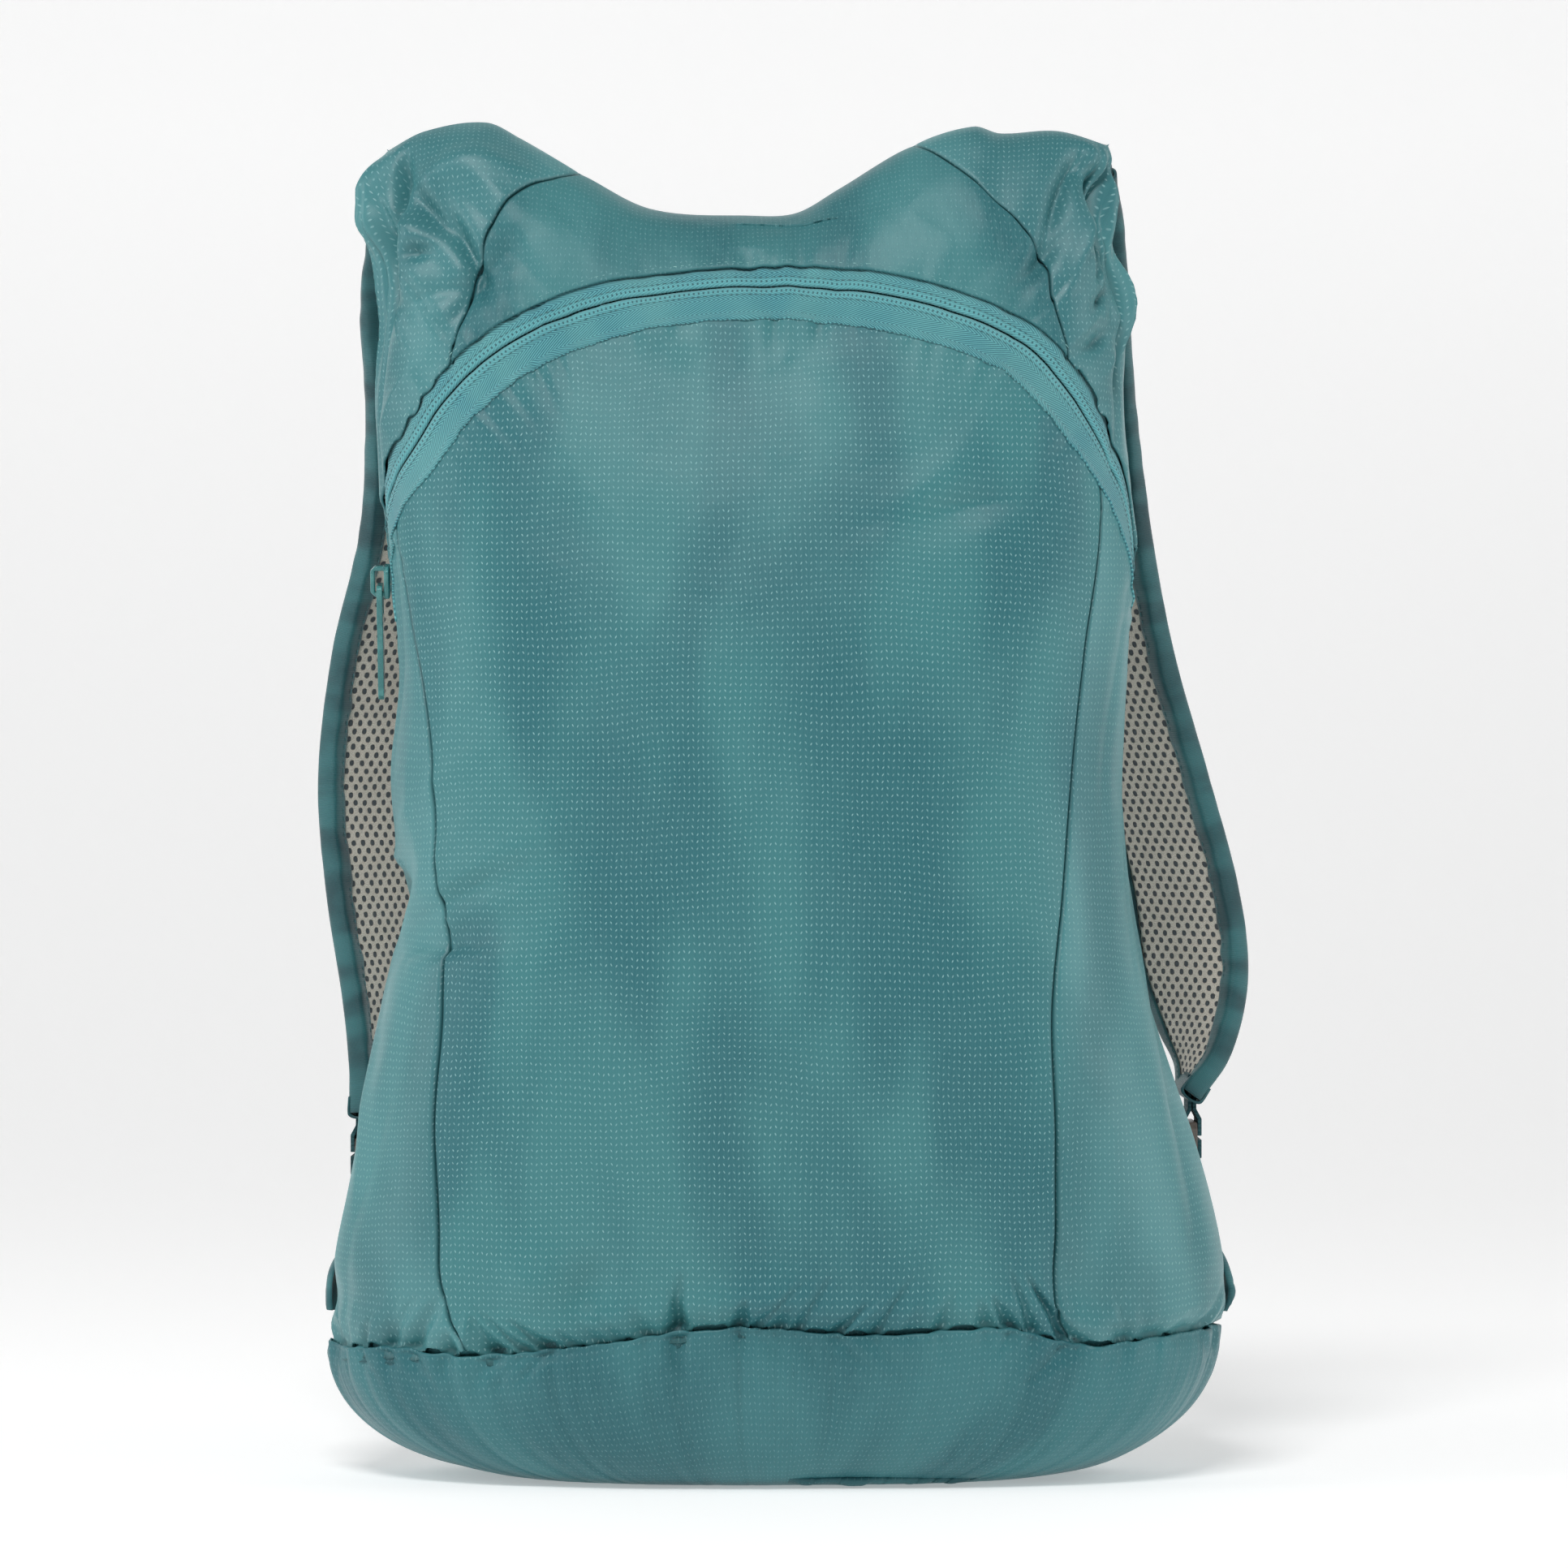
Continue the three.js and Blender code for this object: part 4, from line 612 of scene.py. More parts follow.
# How far the cloth stands in or out at a place
def clothDepth(across, level, points):
    wrapped = withinLap(across)
    toSeam = (level - levelAt(wrapped, seamRise(wrapped))) * bag["height"] / bag["seamTuckReach"]
    lifted = np.exp(-((np.abs(wrapped) - corner["across"]) / corner["width"]) ** 2) * corner["lift"]
    depth = foldDepth(wrapped, level) - bag["seamTuck"] * (1 - lifted) * np.exp(-toSeam ** 2)
    aboveSeam = toSeam * bag["seamTuckReach"]
    depth += gatherDepth(flatPlace(wrapped, level)[..., 0], aboveSeam) + zipPuckerDepth(wrapped, level)
    depth += gathers["piping"] * np.exp(-((aboveSeam - gathers["pipingRise"]) / gathers["pipingReach"]) ** 2)
    behind = smoothStep(np.abs(wrapped), *zones["behind"])
    flank = smoothStep(np.abs(wrapped), *zones["flank"]) * (1 - behind)
    warp = bodyNoise(points, billow["warpScale"], billow["seed"] + 4)[..., None] * billow["warp"]
    depth += billow["depth"] * (1 - 0.4 * behind) * bodyNoise(points + warp, billow["scale"], billow["seed"])
    depth += billow["fineDepth"] * bodyNoise(points - warp, billow["fineScale"], billow["seed"] + 1)
    shoulder = smoothStep(level, *zones["shoulder"]) * (0.25 + 0.75 * flank) + 0.3 * flank
    slanted = (points + 1.6 * warp) @ np.array([[0.9, 0.1, 0.35], [0, 1, 0], [-0.35, 0, 0.45]]).T
    creased = 1 - 2.2 * np.abs(bodyNoise(slanted, crumple["scale"], crumple["seed"]))
    fine = 1 - 2.2 * np.abs(bodyNoise(slanted, crumple["fineScale"], crumple["seed"] + 2))
    top = smoothStep(level, *zones["top"])
    return depth + shoulder * (crumple["depth"] * (0.35 + 0.65 * top) * (creased - 0.35) +
                               crumple["fineDepth"] * top * (fine - 0.35))


def clothPoint(across, level):
    points = bodyPoint(across, level)
    fade = 1 - smoothStep(level, *zones["ridge"])
    return points + bodyNormal(across, level) * (clothDepth(across, level, points) * fade)[..., None]


# An output of a node. Arithmetic on it adds the maths nodes that work out the result
class Signal:
    def __init__(self, socket):
        self.socket, self.tree = socket, socket.id_data

    def __add__(self, other):
        return maths("ADD", self, other)

    def __sub__(self, other):
        return maths("SUBTRACT", self, other)

    def __mul__(self, other):
        return maths("MULTIPLY", self, other)

    def __truediv__(self, other):
        return maths("DIVIDE", self, other)

    def __rtruediv__(self, other):
        return maths("DIVIDE", other, self)

    def __pow__(self, other):
        return maths("POWER", self, other)

    def __abs__(self):
        return maths("ABSOLUTE", self)


# Links a signal to an input of a node, or sets a plain value there
def feed(value, socket):
    if isinstance(value, Signal):
        value.tree.links.new(value.socket, socket)
    else:
        socket.default_value = value


def addNode(tree, kind, inputs=(), **settings):
    node = tree.nodes.new(kind)
    for key, value in settings.items():
        setattr(node, key, value)
    for key, value in dict(inputs).items():
        feed(value, node.inputs[key])
    return node


def signals(node):
    return {socket.name: Signal(socket) for socket in node.outputs}


# One output of a new node, in the tree of the first signal that it is given
def made(kind, inputs=(), output=0, tree=None, **settings):
    inputs = dict(inputs)
    tree = tree or next(value.tree for value in inputs.values() if isinstance(value, Signal))
    return Signal(addNode(tree, kind, inputs, **settings).outputs[output])


def maths(operation, *values):
    return made("ShaderNodeMath", enumerate(values), operation=operation)


def vectorMaths(operation, inputs):
    return made("ShaderNodeVectorMath", inputs, operation=operation)


def noise(place, scale, detail, output=0, **more):
    return made("ShaderNodeTexNoise", {"Vector": place, "Scale": scale, "Detail": detail, **more}, output)


def mapped(value, fromLow, fromHigh, toLow=0.0, toHigh=1.0, smooth=True):
    inputs = {0: value, 1: fromLow, 2: fromHigh, 3: toLow, 4: toHigh}
    return made("ShaderNodeMapRange", inputs, interpolation_type="SMOOTHSTEP" if smooth else "LINEAR")


def mixed(share, first, second):
    return made("ShaderNodeMix", {0: share, 6: first, 7: second}, 2, data_type="RGBA")


def axesOf(place):
    axes = signals(addNode(place.tree, "ShaderNodeSeparateXYZ", {0: place}))
    return axes["X"], axes["Y"]


def clothPlaceOf(tree):
    return made("ShaderNodeUVMap", tree=tree, uv_map="clothPlace")


def objectPlaceOf(tree):
    return made("ShaderNodeTexCoord", output="Object", tree=tree)


def linear(*colour):  # a colour read from the photograph, 0 to 255, in Blender's linear values
    shares = [c / 255 for c in colour]
    return (*((c / 12.92) if c <= 0.04 else ((c + 0.055) / 1.055) ** 2.4 for c in shares), 1)


print("materials: effects")


# Slanted dashes on a grid, leaning to and fro from column to column
def dashGrid(given):
    x, y = axesOf(given["Place"])
    across, up = x / given["Pitch Across"], y / given["Pitch Up"]
    column = maths("FLOOR", across)
    sign = maths("MULTIPLY_ADD", maths("FLOORED_MODULO", column, 2.0), 2.0, -1.0)
    lean, shift = sign * given["Lean"], sign * 0.06
    x = (maths("FRACT", across) - 0.5) * given["Pitch Across"]
    y = (maths("FRACT", up + shift) - 0.5) * given["Pitch Up"]
    cosine, sine = maths("COSINE", lean), maths("SINE", lean)
    beside, along = x * cosine - y * sine, x * sine + y * cosine
    squares = (beside / given["Dash Width"]) ** 2.0 + (along / given["Dash Length"]) ** 2.0
    dash = mapped(maths("SQRT", squares), 0.28, 0.62, 1.0, 0.0)
    cell = made("ShaderNodeCombineXYZ", {0: column, 1: maths("FLOOR", up)})
    chance = made("ShaderNodeTexWhiteNoise", {0: cell}, "Value", noise_dimensions="2D")
    return dash * mapped(chance, 0.0, 1.0, 0.55, 1.0, False), dash


# Fine threads both ways, and broad patches of tone, which the ripstop paints as the sheen and shade of its
# folds
def clothGrain(given):
    x, y = axesOf(given["Place"])
    turn = 2 * math.pi / given["Thread Pitch"]
    upright = vectorMaths("MULTIPLY", {0: given["Place"], 1: (1.0, 0.34, 1.0)})
    scaled = vectorMaths("SCALE", {0: upright, 3: 1.0 / given["Patch Size"]})
    stretched = vectorMaths("MULTIPLY", {0: given["Place"], 1: (2300.0, 160.0, 1.0)})
    threads = maths("SINE", x * turn) * maths("SINE", y * turn)
    return threads, noise(scaled, 1.0, 1.6, Distortion=0.3), noise(stretched, 1.0, 1.0)


# Slanted ribs that turn back at each column
def herringbone(given):
    x, y = axesOf(given["Place"])
    period = given["Column"] * 2.0
    zigzag = abs(maths("FRACT", y / period) - 0.5)
    run = (x + zigzag * period * given["Slant"]) / given["Rib Pitch"]
    return [mapped(maths("SINE", run * (2 * math.pi)), -0.7, 0.8)]


# Staggered oval holes of a spacer mesh
def meshHoles(given):
    wander = noise(given["Place"], 160.0, 1.0, 1)
    moved = vectorMaths("MULTIPLY_ADD", {0: wander, 1: (0.0009, 0.0009, 0.0), 2: given["Place"]})
    x, y = axesOf(moved)
    ways = [(x / given["Pitch Across"], given["Pitch Across"], given["Hole Width"]),
            (y / given["Pitch Up"], given["Pitch Up"], given["Hole Length"])]
    lattices = []
    for shift in (0.0, 0.5):
        wide, high = (abs((maths("FRACT", share + shift) - 0.5) * pitch / size) ** 2.4
                      for share, pitch, size in ways)
        lattices.append(wide + high)
    return mapped(maths("MINIMUM", *lattices), 0.55, 1.35, 1.0, 0.0), noise(moved, 2600.0, 1.0)


# Dust and rub where a piece has been handled, by place on the object. The folded tapes paint the rub lighter,
# as a sheen
def wear(given):
    scale = 1.0 / given["Size"]
    broad, fine = noise(given["Place"], scale, 4.0), noise(given["Place"], scale * 22.0, 2.0)
    return mapped(broad, 0.42, 0.7), mapped(fine, 0.35, 0.75)


# A node group with its sizes and their defaults, and with the outputs that its function gives
def effectGroup(work, sizes, outputs):
    tree = bpy.data.node_groups.new(work.__name__, "ShaderNodeTree")
    tree.interface.new_socket("Place", in_out="INPUT", socket_type="NodeSocketVector")
    for key, size in sizes.items():
        tree.interface.new_socket(key, in_out="INPUT", socket_type="NodeSocketFloat").default_value = size
    for key in outputs.split():
        tree.interface.new_socket(key, in_out="OUTPUT", socket_type="NodeSocketFloat")
    results = work(signals(tree.nodes.new("NodeGroupInput")))
    for result, socket in zip(results, tree.nodes.new("NodeGroupOutput").inputs):
        feed(result, socket)
    return tree


effects = {
    "dashGrid": effectGroup(dashGrid, {
        "Pitch Across": 1.65 * mm, "Pitch Up": 2.3 * mm, "Dash Length": 1.0 * mm, "Dash Width": 0.42 * mm,
        "Lean": 0.5}, "Dash Height"),
    "clothGrain": effectGroup(clothGrain, {
        "Thread Pitch": 0.42 * mm, "Patch Size": 38 * mm}, "Threads Patches Slubs"),
    "herringbone": effectGroup(herringbone, {
        "Rib Pitch": 1.6 * mm, "Column": 4.8 * mm, "Slant": 2.1}, "Ribs"),
    "meshHoles": effectGroup(meshHoles, {
        "Pitch Across": 5.2 * mm, "Pitch Up": 5.6 * mm, "Hole Width": 1.15 * mm, "Hole Length": 1.0 * mm},
        "Hole Strands"),
    "wear": effectGroup(wear, {"Size": 9 * mm}, "Rub Speckle"),
}


def effect(name, place, sizes=()):
    node = addNode(place.tree, "ShaderNodeGroup", node_tree=effects[name])
    for key, value in {"Place": place, **dict(sizes)}.items():
        feed(value, node.inputs[key])
    return signals(node)


def newMaterial(name, roughness, sheen=0.0, coat=0.0, metallic=0.0, specular=0.5):
    material = bpy.data.materials.new(name)
    material.use_nodes = True
    inputs = material.node_tree.nodes["Principled BSDF"].inputs
    values = {"Roughness": roughness, "Sheen Weight": sheen, "Coat Weight": coat, "Metallic": metallic,
              "Specular IOR Level": specular}
    for key, value in values.items():
        inputs[key].default_value = value
    return material, material.node_tree, inputs


# Gives a material its colour, its relief of so much depth and, where it varies, its roughness
def dress(inputs, colour, height, depth, roughness=None):
    feed(colour, inputs["Base Color"])
    if roughness is not None:
        feed(roughness, inputs["Roughness"])
    feed(made("ShaderNodeBump", {"Height": height, "Distance": depth, "Strength": 1.0}), inputs["Normal"])


print("materials: finishes")


# Ripstop cloth with a dash grid, threads, broad lighter and darker patches of painted sheen and shade over
# the folds, and a line of painted shade in the seams
def ripstop(name, look):
    material, tree, inputs = newMaterial(
        name, look["roughness"], sheen=look["sheen"], specular=look["specular"])
    inputs["Sheen Roughness"].default_value = 0.4
    inputs["Sheen Tint"].default_value = linear(120, 190, 190)
    place = clothPlaceOf(tree)
    grain = effect("clothGrain", place, {"Patch Size": look["patchSize"]})
    drift = noise(place, 22.0, 1.0, 1)
    dashes = effect("dashGrid", vectorMaths("MULTIPLY_ADD", {0: drift, 1: (0.004, 0.007, 0.0), 2: place}))
    # Painted sheen and shade of the folds: broad patches mix the shade colour towards the light one
    base = mixed(mapped(grain["Patches"], 0.38, 0.62), look["shade"], look["light"])
    threaded = mixed(mapped(grain["Slubs"], 0.3, 0.7, 0.0, look["slubs"], False), base, look["thread"])
    dashed = mixed(dashes["Dash"] * look["dashStrength"], threaded, look["dash"])
    # Painted shade along the seams: where the seam attribute falls to 0 at a turned-in edge, the dark seam
    # colour is mixed in by up to seamShade
    seam = made("ShaderNodeAttribute", output="Fac", tree=tree, attribute_name="seam")
    colour = mixed(mapped(seam, 0.0, 1.0, look["seamShade"], 0.0), dashed, look["seam"])
    rub = effect("wear", objectPlaceOf(tree), {"Size": 30 * mm})["Rub"]
    roughness = mapped(rub, 0.0, 1.0, look["roughness"] - 0.05, look["roughness"] + 0.08)
    raised = maths("MULTIPLY_ADD", dashes["Height"], 0.6, grain["Threads"] * 0.16)
    crumpled = noise(place, 70.0, 2.0, Roughness=0.45, Distortion=0.4) * look["crumple"]
    dress(inputs, colour, raised + crumpled, 0.09 * mm, roughness)
    return material


# seam is the colour of the painted shade in the seams, and seamShade is how much of it is mixed in; shade and
# light are the colours of the painted patches of sheen and shade
clothLook = {
    "shade": linear(46, 106, 114), "light": linear(64, 126, 130), "thread": linear(84, 142, 144),
    "dash": linear(146, 192, 194), "seam": linear(26, 66, 72), "dashStrength": 0.8, "slubs": 0.2,
    "patchSize": 40 * mm, "roughness": 0.4, "sheen": 0.04, "specular": 0.36, "seamShade": 0.5, "crumple": 3.5,
}
frontCloth = ripstop("frontRipstop", clothLook)
# Side and shoulder panels: the same cloth painted lighter than the front, as painted light on the flanks
sideClothPaintedLit = ripstop("sideRipstopPaintedLit", clothLook | {
    "shade": linear(54, 114, 120), "light": linear(74, 136, 140), "dashStrength": 0.6, "sheen": 0.2,
    "specular": 0.55, "crumple": 5.0})
baseCloth = ripstop("baseRipstop", clothLook | {
    "shade": linear(42, 100, 108), "light": linear(58, 118, 124), "dashStrength": 0.36, "crumple": 5.0})
yokeCloth = ripstop("yokeRipstop", clothLook | {
    "shade": linear(46, 103, 110), "light": linear(66, 126, 130), "dashStrength": 0.34, "slubs": 0.3})
backCloth = ripstop("backRipstop", clothLook | {
    "shade": linear(52, 108, 115), "light": linear(66, 126, 132), "dashStrength": 0.5})


def zipTapeCloth():
    light, dark, thread = linear(112, 194, 200), linear(44, 116, 130), linear(130, 196, 190)
    material, tree, inputs = newMaterial("zipTapeHerringbone", 0.6, sheen=0.2, specular=0.35)
    place = clothPlaceOf(tree)
    ribs = effect("herringbone", place)["Ribs"]
    grain = effect("clothGrain", place, {"Thread Pitch": 0.3 * mm, "Patch Size": 20 * mm})
    # Painted shade and light of the ribs: the herringbone crests are mixed towards the light colour and the
    # grooves towards the dark one
    worn = mixed(mapped(grain["Patches"], 0.3, 0.7, 0.0, 0.25), mixed(ribs * 0.8, dark, light), thread)
    x, y = axesOf(place)
    # The row of needle holes, painted dark as shade inside them, and the pale knitted band beside the slit
    hole, holeRow = abs(maths("FRACT", x / (1.6 * mm)) - 0.5), abs(abs(y) - 1.9 * mm)
    holeShare = mapped(hole, 0.12, 0.26, 1.0, 0.0) * mapped(holeRow, 0.25 * mm, 0.5 * mm, 1.0, 0.0)
    banded = mixed(mapped(abs(y), 2.4 * mm, 3.2 * mm, 0.55, 0.0), worn, light)
    holed = mixed(holeShare * 0.75, banded, linear(24, 66, 76))
    dress(inputs, holed, ribs + grain["Threads"] * 0.3 - holeShare, 0.14 * mm)
    return material


def spacerMesh():
    light, dark = linear(246, 234, 220), linear(212, 198, 184)
    material, tree, inputs = newMaterial("airMesh", 0.85, sheen=0.15, specular=0.25)
    holes = effect("meshHoles", clothPlaceOf(tree))
    rub = effect("wear", objectPlaceOf(tree), {"Size": 14 * mm})["Rub"]
    strands = mixed(mapped(holes["Strands"], 0.35, 0.65), dark, light)
    # Painted shade in the mesh holes: they are mixed to a dark grey
    colour = mixed(holes["Hole"], mixed(rub * 0.25, strands, dark), linear(78, 84, 88))
    dress(inputs, colour, holes["Strands"] * 0.25 - holes["Hole"], 0.9 * mm)
    return material


# Folded tape and webbing: ribs across with painted shade in their grooves, and a rubbed sheen on the bends,
# painted lighter in patches
def ribbedTape(name, shade, light, ribPitch, ribDepth, roughness):
    material, tree, inputs = newMaterial(name, roughness, sheen=0.2, specular=0.4)
    place = clothPlaceOf(tree)
    grain = effect("clothGrain", place, {"Thread Pitch": 0.4 * mm, "Patch Size": 12 * mm})
    ribs = maths("SINE", axesOf(place)[0] * (2 * math.pi / ribPitch))
    rub = effect("wear", objectPlaceOf(tree), {"Size": 11 * mm})["Rub"]
    toned = mixed(mapped(grain["Patches"], 0.35, 0.65), shade, light)
    # Painted sheen: rubbed patches are mixed towards the light colour
    rubbed = mixed(rub * 0.3, toned, light)
    # Painted shade in the grooves between the ribs
    colour = mixed(mapped(ribs, -1.0, 0.2, 1.0, 0.0) * 0.3, rubbed, shade)
    dress(inputs, colour, ribs + grain["Threads"] * 0.5, ribDepth)
    return material


def mouldedFinish(name, shade, light, roughness, metallic, coat, wearSize):
    material, tree, inputs = newMaterial(name, roughness, metallic=metallic, coat=coat)
    worn = effect("wear", objectPlaceOf(tree), {"Size": wearSize})
    rough = mapped(worn["Speckle"], 0.0, 1.0, roughness - 0.06, roughness + 0.1)
    dress(inputs, mixed(worn["Rub"] * 0.6, shade, light), worn["Speckle"], 0.03 * mm, rough)
    return material


def threadFinish(name, shade, light):
    material, tree, inputs = newMaterial(name, 0.55, sheen=0.3)
    twist = noise(objectPlaceOf(tree), 1800.0, 2.0)
    dress(inputs, mixed(mapped(twist, 0.35, 0.65), shade, light), twist, 0.05 * mm)
    return material


tapeCloth = zipTapeCloth()
meshCloth = spacerMesh()
bindingCloth = ribbedTape("strapBinding", linear(22, 70, 76), linear(48, 108, 112), 0.5 * mm, 0.04 * mm, 0.48)
anchorCloth = ribbedTape("anchorCloth", linear(44, 100, 106), linear(72, 130, 134), 0.6 * mm, 0.04 * mm, 0.5)
webbingCloth = ribbedTape("darkWebbing", linear(20, 60, 66), linear(38, 88, 94), 1.5 * mm, 0.16 * mm, 0.7)
coilPlastic = mouldedFinish("zipCoil", linear(34, 96, 104), linear(62, 136, 140), 0.4, 0.0, 0.1, 3 * mm)
paintedMetal = mouldedFinish(
    "tealEnamel", linear(44, 118, 118), linear(84, 154, 150), 0.24, 0.25, 0.6, 4 * mm)
greyPlastic = mouldedFinish(
    "greyBrownPlastic", linear(84, 75, 69), linear(116, 106, 98), 0.42, 0.0, 0.15, 5 * mm)
paleThread = threadFinish("paleThread", linear(88, 148, 148), linear(140, 190, 186))
darkThread = threadFinish("darkThread", linear(30, 78, 84), linear(62, 120, 124))

print("cloth: panels")
panels = {
    "crowdAcross": 0.2,  # how far the columns and the rows of a panel are drawn towards its edges
    "crowdUp": 0.6,
    "seamShade": (0.2 * mm, 1.5 * mm),
    "sinkReach": 3.5 * mm,
    # radius to which the cloth turns in, and how far it dips towards the edge
    "seam": (1.0 * mm, 0.4 * mm),
    "foot": (2.2 * mm, 1.3 * mm),
    "rim": (0.7 * mm, 0.0),
    "hem": (0.7 * mm, 0.25 * mm),
    "ridge": (0.3 * mm, 0.0),
    "slit": (0.7 * mm, 0.1 * mm),
    # columns and rows of each panel
    "grids": {
        "front_panel": (262, 150), "side_panel_left": (104, 150), "side_panel_right": (104, 150),
        "shoulder_panel_left": (128, 100), "shoulder_panel_right": (128, 100), "top_yoke": (180, 78),
        "back_panel": (84, 116),
    },
}


def crowdEdges(count, pull):
    t = np.linspace(0, 1, count)
    return t - pull * np.sin(2 * math.pi * t) / (2 * math.pi)


# Places over a four-sided patch of the body from its four edge lines
def patchPlaces(bottom, top, left, right, columns, rows):
    u, v = crowdEdges(columns, panels["crowdAcross"]), crowdEdges(rows, panels["crowdUp"])
    low, high = (np.stack(line(u), -1)[:, None] for line in (bottom, top))
    start, end = (np.stack(line(v), -1)[None] for line in (left, right))
    s, t = u[:, None, None], v[None, :, None]
    corners = (low[:1] * (1 - s) + low[-1:] * s) * (1 - t) + (high[:1] * (1 - s) + high[-1:] * s) * t
    places = low * (1 - t) + high * t + start * (1 - s) + end * s - corners
    return places[..., 0], places[..., 1]


def gridNormals(points):
    return unit(np.cross(np.gradient(points, axis=0), np.gradient(points, axis=1)))


# Distances of a grid's points from its left, right, bottom and top edges
def edgeDistances(points):
    distances = []
    for axis in (0, 1):
        steps = np.linalg.norm(np.diff(points, axis=axis), axis=-1)
        first = np.zeros_like(steps.take([0], axis=axis))
        run = np.concatenate([first, np.cumsum(steps, axis=axis)], axis=axis)
        distances += [run, run.take([-1], axis=axis) - run]
    return distances


# The cloth turns in along the edges of a panel, which are named left, right, bottom and top
def rolledIn(points, edges):
    normals = gridNormals(points)
    drop, nearest = np.zeros(points.shape[:2]), np.full(points.shape[:2], 1.0)
    for distance, edge in zip(edgeDistances(points), edges):
        if edge:
            roll, sink = panels[edge]
            short = np.clip(1 - distance / roll, 0, 1)
            dip = sink * np.exp(-distance / panels["sinkReach"])
            drop = np.maximum(drop, roll * (1 - np.sqrt(1 - short ** 2)) + dip)
            if edge in ("seam", "foot"):
                nearest = np.minimum(nearest, distance)
    # The second result is the mask of the painted seam shade: 0 at a seam or foot edge, 1 from the far end of
    # seamShade on
    return points - normals * drop[..., None], smoothStep(nearest, *panels["seamShade"])


# Quads of an outer and an inner grid and of the rims between them
def shellFaces(columns, rows, rims="left right bottom top"):
    front = np.arange(columns * rows).reshape(columns, rows)
    back = front + columns * rows

    def quads(*corners):
        return np.stack([corner.ravel() for corner in corners], -1)

    edges = {
        "bottom": quads(front[:-1, 0], back[:-1, 0], back[1:, 0], front[1:, 0]),
        "top": quads(front[1:, -1], back[1:, -1], back[:-1, -1], front[:-1, -1]),
        "left": quads(front[0, 1:], back[0, 1:], back[0, :-1], front[0, :-1]),
        "right": quads(front[-1, :-1], back[-1, :-1], back[-1, 1:], front[-1, 1:]),
    }
    return np.concatenate([
        quads(front[:-1, :-1], front[1:, :-1], front[1:, 1:], front[:-1, 1:]),
        quads(back[:-1, :-1], back[:-1, 1:], back[1:, 1:], back[1:, :-1]),
        *(edges[rim] for rim in rims.split()),
    ])


def newPiece(name, points, faces, material, flat=None, seam=None):
    mesh = bpy.data.meshes.new(name)
    mesh.vertices.add(len(points))
    mesh.vertices.foreach_set("co", np.ascontiguousarray(points, np.float32).ravel())
    mesh.loops.add(faces.size)
    mesh.loops.foreach_set("vertex_index", np.ascontiguousarray(faces, np.int32).ravel())
    mesh.polygons.add(len(faces))
    mesh.polygons.foreach_set("loop_start", np.arange(len(faces), dtype=np.int32) * faces.shape[1])
    mesh.update(calc_edges=True)
    mesh.shade_smooth()
    if flat is not None:
        layer = mesh.uv_layers.new(name="clothPlace")
        layer.data.foreach_set("uv", flat[faces.ravel()].astype(np.float32).ravel())
    if seam is not None:
        mesh.attributes.new("seam", "FLOAT", "POINT").data.foreach_set("value", seam.astype(np.float32))
    mesh.materials.append(material)
    return linked(name, mesh)


def linked(name, mesh):
    piece = bpy.data.objects.new(name, mesh)
    bpy.context.scene.collection.objects.link(piece)
    return piece


# Ties a piece to its body and hides the nodes that it stands for
def settle(piece, finish, *nodes, body="bag"):
    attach(piece, body)
    if nodes:
        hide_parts(*nodes)
    return piece


# A closed wall between a grid of outer points and one of inner points, faced outwards
def shellPiece(name, outer, inner, material, flat, seam=None, rims="left right bottom top"):
    if (gridNormals(outer) * (outer - inner)).sum() < 0:
        outer, inner, flat = outer[::-1], inner[::-1], flat[::-1]
        seam = None if seam is None else seam[::-1]
    points = np.concatenate([outer.reshape(-1, 3), inner.reshape(-1, 3)])
    flat = np.tile(flat.reshape(-1, 2), (2, 1))
    if seam is not None:
        seam = np.tile(seam.ravel(), 2)
    return newPiece(name, points, shellFaces(*outer.shape[:2], rims), material, flat, seam)


def weld(piece):  # closes the join of a shell that runs right round, and its pole
    shape = bmesh.new()
    shape.from_mesh(piece.data)
    bmesh.ops.remove_doubles(shape, verts=shape.verts, dist=0.001 * mm)
    shape.to_mesh(piece.data)
    shape.free()


allowance = {"half": 5.5 * mm, "columns": 5, "shade": 0.4, "step": 0.01, "top": 0.999}


# A strip of cloth behind a seam, where the allowances of both panels lie
def seamAllowance(name, line, sunk=2.6 * mm, count=160):
    t = np.linspace(0, 1, count)
    across, level = line(t)
    after = line(np.minimum(t + allowance["step"], 1))
    before = line(np.maximum(t - allowance["step"], 0))
    ahead = bodyPoint(*after) - bodyPoint(*before)
    sideways = np.linspace(-allowance["half"], allowance["half"], allowance["columns"])
    places = [besidePlace(across, level, ahead, distance) for distance in sideways]
    turn, height = (np.stack([place[i] for place in places], 1) for i in (0, 1))
    height = np.minimum(height, allowance["top"])
    points = clothPoint(turn, height)
    normals = bodyNormal(turn, height)
    outer, inner = points - normals * sunk, points - normals * (sunk + bag["wall"])
    flat = flatPlace(turn, height)
    # Painted shade: the strips take the allowance shade as their seam attribute, which mixes in some of the
    # dark seam colour
    piece = shellPiece(name, outer, inner, baseCloth, flat, 0 * turn + allowance["shade"])
    settle(piece, "ripstop")


# A panel between its bottom, top, left and right lines. Its cut is larger than its flat places by the ease
# that its gathers and folds take up
def clothPanel(node, lines, material, edges, ease=1.02):
    places = patchPlaces(*lines, *panels["grids"][node])
    outer, seam = rolledIn(clothPoint(*places), edges.split())
    inner = outer - gridNormals(outer) * bag["wall"]
    flat = flatPlace(*places)
    piece = shellPiece("cloth_" + node, outer, inner, material, flat, seam)
    settle(piece, "ripstop", node)
    width, length = (float(flat[..., i].max() - flat[..., i].min()) * ease for i in (0, 1))
    return piece


leftFoot, rightFoot = (float(frontSeam[side](0)[0]) for side in sides)

clothPanel("front_panel", (
    baseSeamLine(leftFoot, rightFoot), spanOf(lowerEdge, lowerShare["left"], lowerShare["right"]),
    frontSeam["left"], frontSeam["right"]), frontCloth, "seam seam foot hem")

